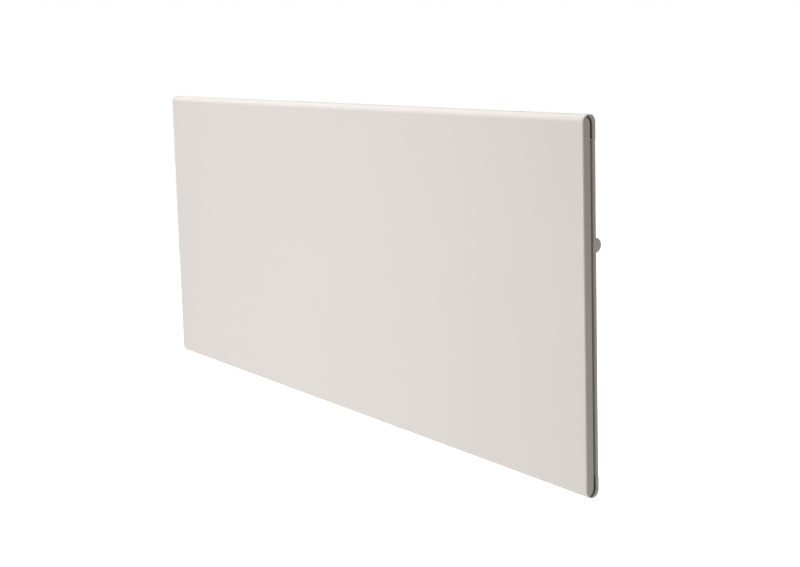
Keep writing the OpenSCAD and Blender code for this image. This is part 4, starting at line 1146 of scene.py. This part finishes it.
# %% Print on the dial
LAST_SETTING = 6
TICK_R = (12.5, 13.6)
TICK_W = 0.35
HALF_TICK = (0.2, 0.6)
NUMBER_R = 14.9
NUMBER_SIZE = 2.3
FROST_ARM = (0.22, 2)
marks = bmesh.new()
for setting in range(LAST_SETTING + 1):
    turn = setting * DIAL_SWEEP / LAST_SETTING
    print_bar(marks, on_dial(sum(TICK_R) / 2, turn), TICK_W, TICK_R[1] - TICK_R[0])
    if setting:
        print_number(marks, str(setting), on_dial(NUMBER_R, turn), NUMBER_SIZE)
for arm in range(3):
    arm_turn = Matrix.Rotation(math.radians(60 * arm), 4, "Z")
    print_bar(marks, on_dial(NUMBER_R, 0) @ arm_turn, *FROST_ARM)
for setting in range(LAST_SETTING):
    turn = (setting + 0.5) * DIAL_SWEEP / LAST_SETTING
    print_bar(marks, on_dial(TICK_R[0] + HALF_TICK[1] / 2, turn), *HALF_TICK)
finish_piece(marks, "dial_marks", "heater", "dial_plastic", look="dial_print")

# %% Line on the knob
LINE_W = 0.9
LINE_L = 4.4
LINE_MIDDLE = 4.6
pointer = bmesh.new()
knob_end = on_dial(0, 0, KNOB_PLACE[0] + KNOB_REACH)
print_bar(pointer, knob_end @ Matrix.Translation((0, LINE_MIDDLE, 0)), LINE_W, LINE_L)
finish_piece(pointer, "knob_line", "knob", "knob_plastic", look="dial_print")

# %% [markdown]
# ## The cable gland
# The supply cable enters through a plastic gland in the floor of the electrical compartment.
# Inside, its thread carries a locknut, which keeps its CAD shape. Below, a hexagon holds it. A
# real thread is a screw line, but on so small a part rings of the same pitch look alike and
# need few faces, so the body is spun. Its cap has grip ribs and a tapered end that squeezes a
# seal onto the cable.

# %% Cable gland
GLAND_R = 8
GLAND_AF = 21
GLAND_HEX_Z = (-176.15, -171.15)
GLAND_TOP = -157.2
GLAND_LOW = -186
CABLE_R = 4.25
THREAD_FROM = GLAND_HEX_Z[1] + 1.5
THREAD_PITCH = 1.2
THREAD_TURNS = 11
THREAD_DEPTH = 0.35
gland_place = Matrix.Translation((GLAND_X, GLAND_Y, 0))
gland = bmesh.new()
thread = []
for i in range(THREAD_TURNS):
    thread_z = THREAD_FROM + i * THREAD_PITCH
    thread += [(thread_z, GLAND_R - THREAD_DEPTH), (thread_z + THREAD_PITCH / 2, GLAND_R)]
lathe(gland, [(GLAND_LOW, CABLE_R), (GLAND_LOW, GLAND_R - 0.3), (GLAND_HEX_Z[1], GLAND_R - 0.3)]
      + thread + [(GLAND_TOP, GLAND_R - 0.5), (GLAND_TOP, CABLE_R), (GLAND_LOW, CABLE_R)],
      gland_place, steps=32)
hexagon = bmesh.ops.create_circle(
    gland, segments=6, radius=GLAND_AF / math.sqrt(3), cap_ends=True,
    matrix=gland_place @ Matrix.Translation((0, 0, GLAND_HEX_Z[0])))["verts"]
thicken(gland, hexagon[0].link_faces[:], (0, 0, GLAND_HEX_Z[1] - GLAND_HEX_Z[0]))
finish_piece(gland, "gland_body", "heater", "black_nylon", ["cable_gland"])

# %% Gland cap
CAP_R = 10.2
CAP_SECTION = ((-176.45, GLAND_R + 0.1), (-176.45, 9.6), (-177, CAP_R), (-187.5, CAP_R),
               (-188.6, 9.9), (-191.4, 8.3), (-192, 7.7), (-192, 5.4), (-191.2, 4.6),
               (-187, 4.55), (-187, GLAND_R + 0.1), (-176.45, GLAND_R + 0.1))
CAP_STEPS = 48
GRIP_Z = -182.2
GRIP_EVERY = 3
GRIP_INSET = 0.25
GRIP_DEPTH = 0.45
cap = bmesh.new()
lathe(cap, CAP_SECTION, Matrix.Identity(4), CAP_STEPS)
grip_faces = []
for face in cap.faces:
    middle = face.calc_center_median()
    step = round(math.degrees(math.atan2(middle.y, middle.x)) / 360 * CAP_STEPS - 0.5)
    outside = abs(middle.z - GRIP_Z) < 2 and middle.to_2d().length > CAP_R - 0.2
    if outside and step % GRIP_EVERY == 0:
        grip_faces.append(face)
bmesh.ops.inset_individual(cap, faces=grip_faces, thickness=GRIP_INSET, depth=-GRIP_DEPTH,
                           use_even_offset=True)
bmesh.ops.transform(cap, matrix=gland_place, verts=cap.verts)
finish_piece(cap, "gland_nut", "heater", "black_nylon", ["gland_cap"])

# %% [markdown]
# ## The rating plate
# A small bare aluminium plate is stuck to the back. Its border is pressed in with a shallow
# bead, which bump in the material could only hint at. An inset of the rear face draws the
# bead, and a second one presses it in. The plate carries no words here.

# %% Rating plate
PLATE_X = -330
PLATE_Z = 20
PLATE_W = 64
PLATE_H = 34
PLATE_Y = (-22, -21.6)
PLATE_R = 3
PLATE_BORDER = 1.8
PLATE_BEAD = 0.4
plate = bmesh.new()
bmesh.ops.create_grid(plate, x_segments=1, y_segments=1, size=0.5,
                      matrix=Matrix.Translation((PLATE_X, PLATE_Y[0], PLATE_Z)) @ TO_ROOM
                      @ Matrix.Diagonal((PLATE_W, PLATE_H, 1, 1)))
round_corners(plate, plate.verts[:], PLATE_R)
thicken(plate, plate.faces[:], (0, PLATE_Y[1] - PLATE_Y[0], 0))
bmesh.ops.recalc_face_normals(plate, faces=plate.faces)
rear_face = [f for f in plate.faces if f.normal.y > 0.9]
bmesh.ops.inset_region(plate, faces=rear_face, thickness=PLATE_BORDER, depth=0)
bmesh.ops.inset_region(plate, faces=rear_face, thickness=PLATE_BEAD, depth=-PLATE_BEAD / 2)
finish_piece(plate, "bare_plate", "heater", "plate_aluminium", ["rating_plate"])

# %% [markdown]
# ## The floor
# White paper lies on the studio's floor, far below the heater. It ends 5 m to the left, so only
# the lower part of the front has a faint sheen of it. Plain white paper would turn grey where
# the light is weak, so this one also glows for the camera, while what it sends back to the
# heater is weaker and a bit warm, as the room's light is.

# %% Floor
FLOOR_Z = -0.9
FLOOR_HALF = 30
FLOOR_LEFT = -5
floor_bm = bmesh.new()
bmesh.ops.create_grid(floor_bm, x_segments=1, y_segments=1, size=FLOOR_HALF)
bmesh.ops.translate(floor_bm, verts=floor_bm.verts,
                    vec=(FLOOR_HALF + FLOOR_LEFT, 0, FLOOR_Z))
floor_mesh = bpy.data.meshes.new("floor")
floor_bm.to_mesh(floor_mesh)
floor_bm.free()
floor = bpy.data.objects.new("floor", floor_mesh)
scene.collection.objects.link(floor)
print("paper from x =", FLOOR_LEFT, "to", 2 * FLOOR_HALF + FLOOR_LEFT)

# %% Paper on the floor
PAPER = ((0.8, 0.8, 0.8), 0.9, 300, 0.02, 0.01, 0.02)
PAPER_GLOW = (1, 0.98, 0.91, 1)
PAPER_FELT = 0.18
PAPER_SEEN = 1.1
paper = surface("floor_paper", skin, PAPER)
tree = paper.node_tree
either_glow = tree.nodes.new("ShaderNodeMix")
either_glow.data_type = "FLOAT"
camera_ray = tree.nodes.new("ShaderNodeLightPath").outputs["Is Camera Ray"]
feed(tree, either_glow, {"Factor": camera_ray, "A": PAPER_FELT, "B": PAPER_SEEN})
feed(tree, tree.nodes["Principled BSDF"],
     {"Emission Color": PAPER_GLOW, "Emission Strength": either_glow.outputs["Result"]})
floor_mesh.materials.append(paper)
print("materials", len(bpy.data.materials))
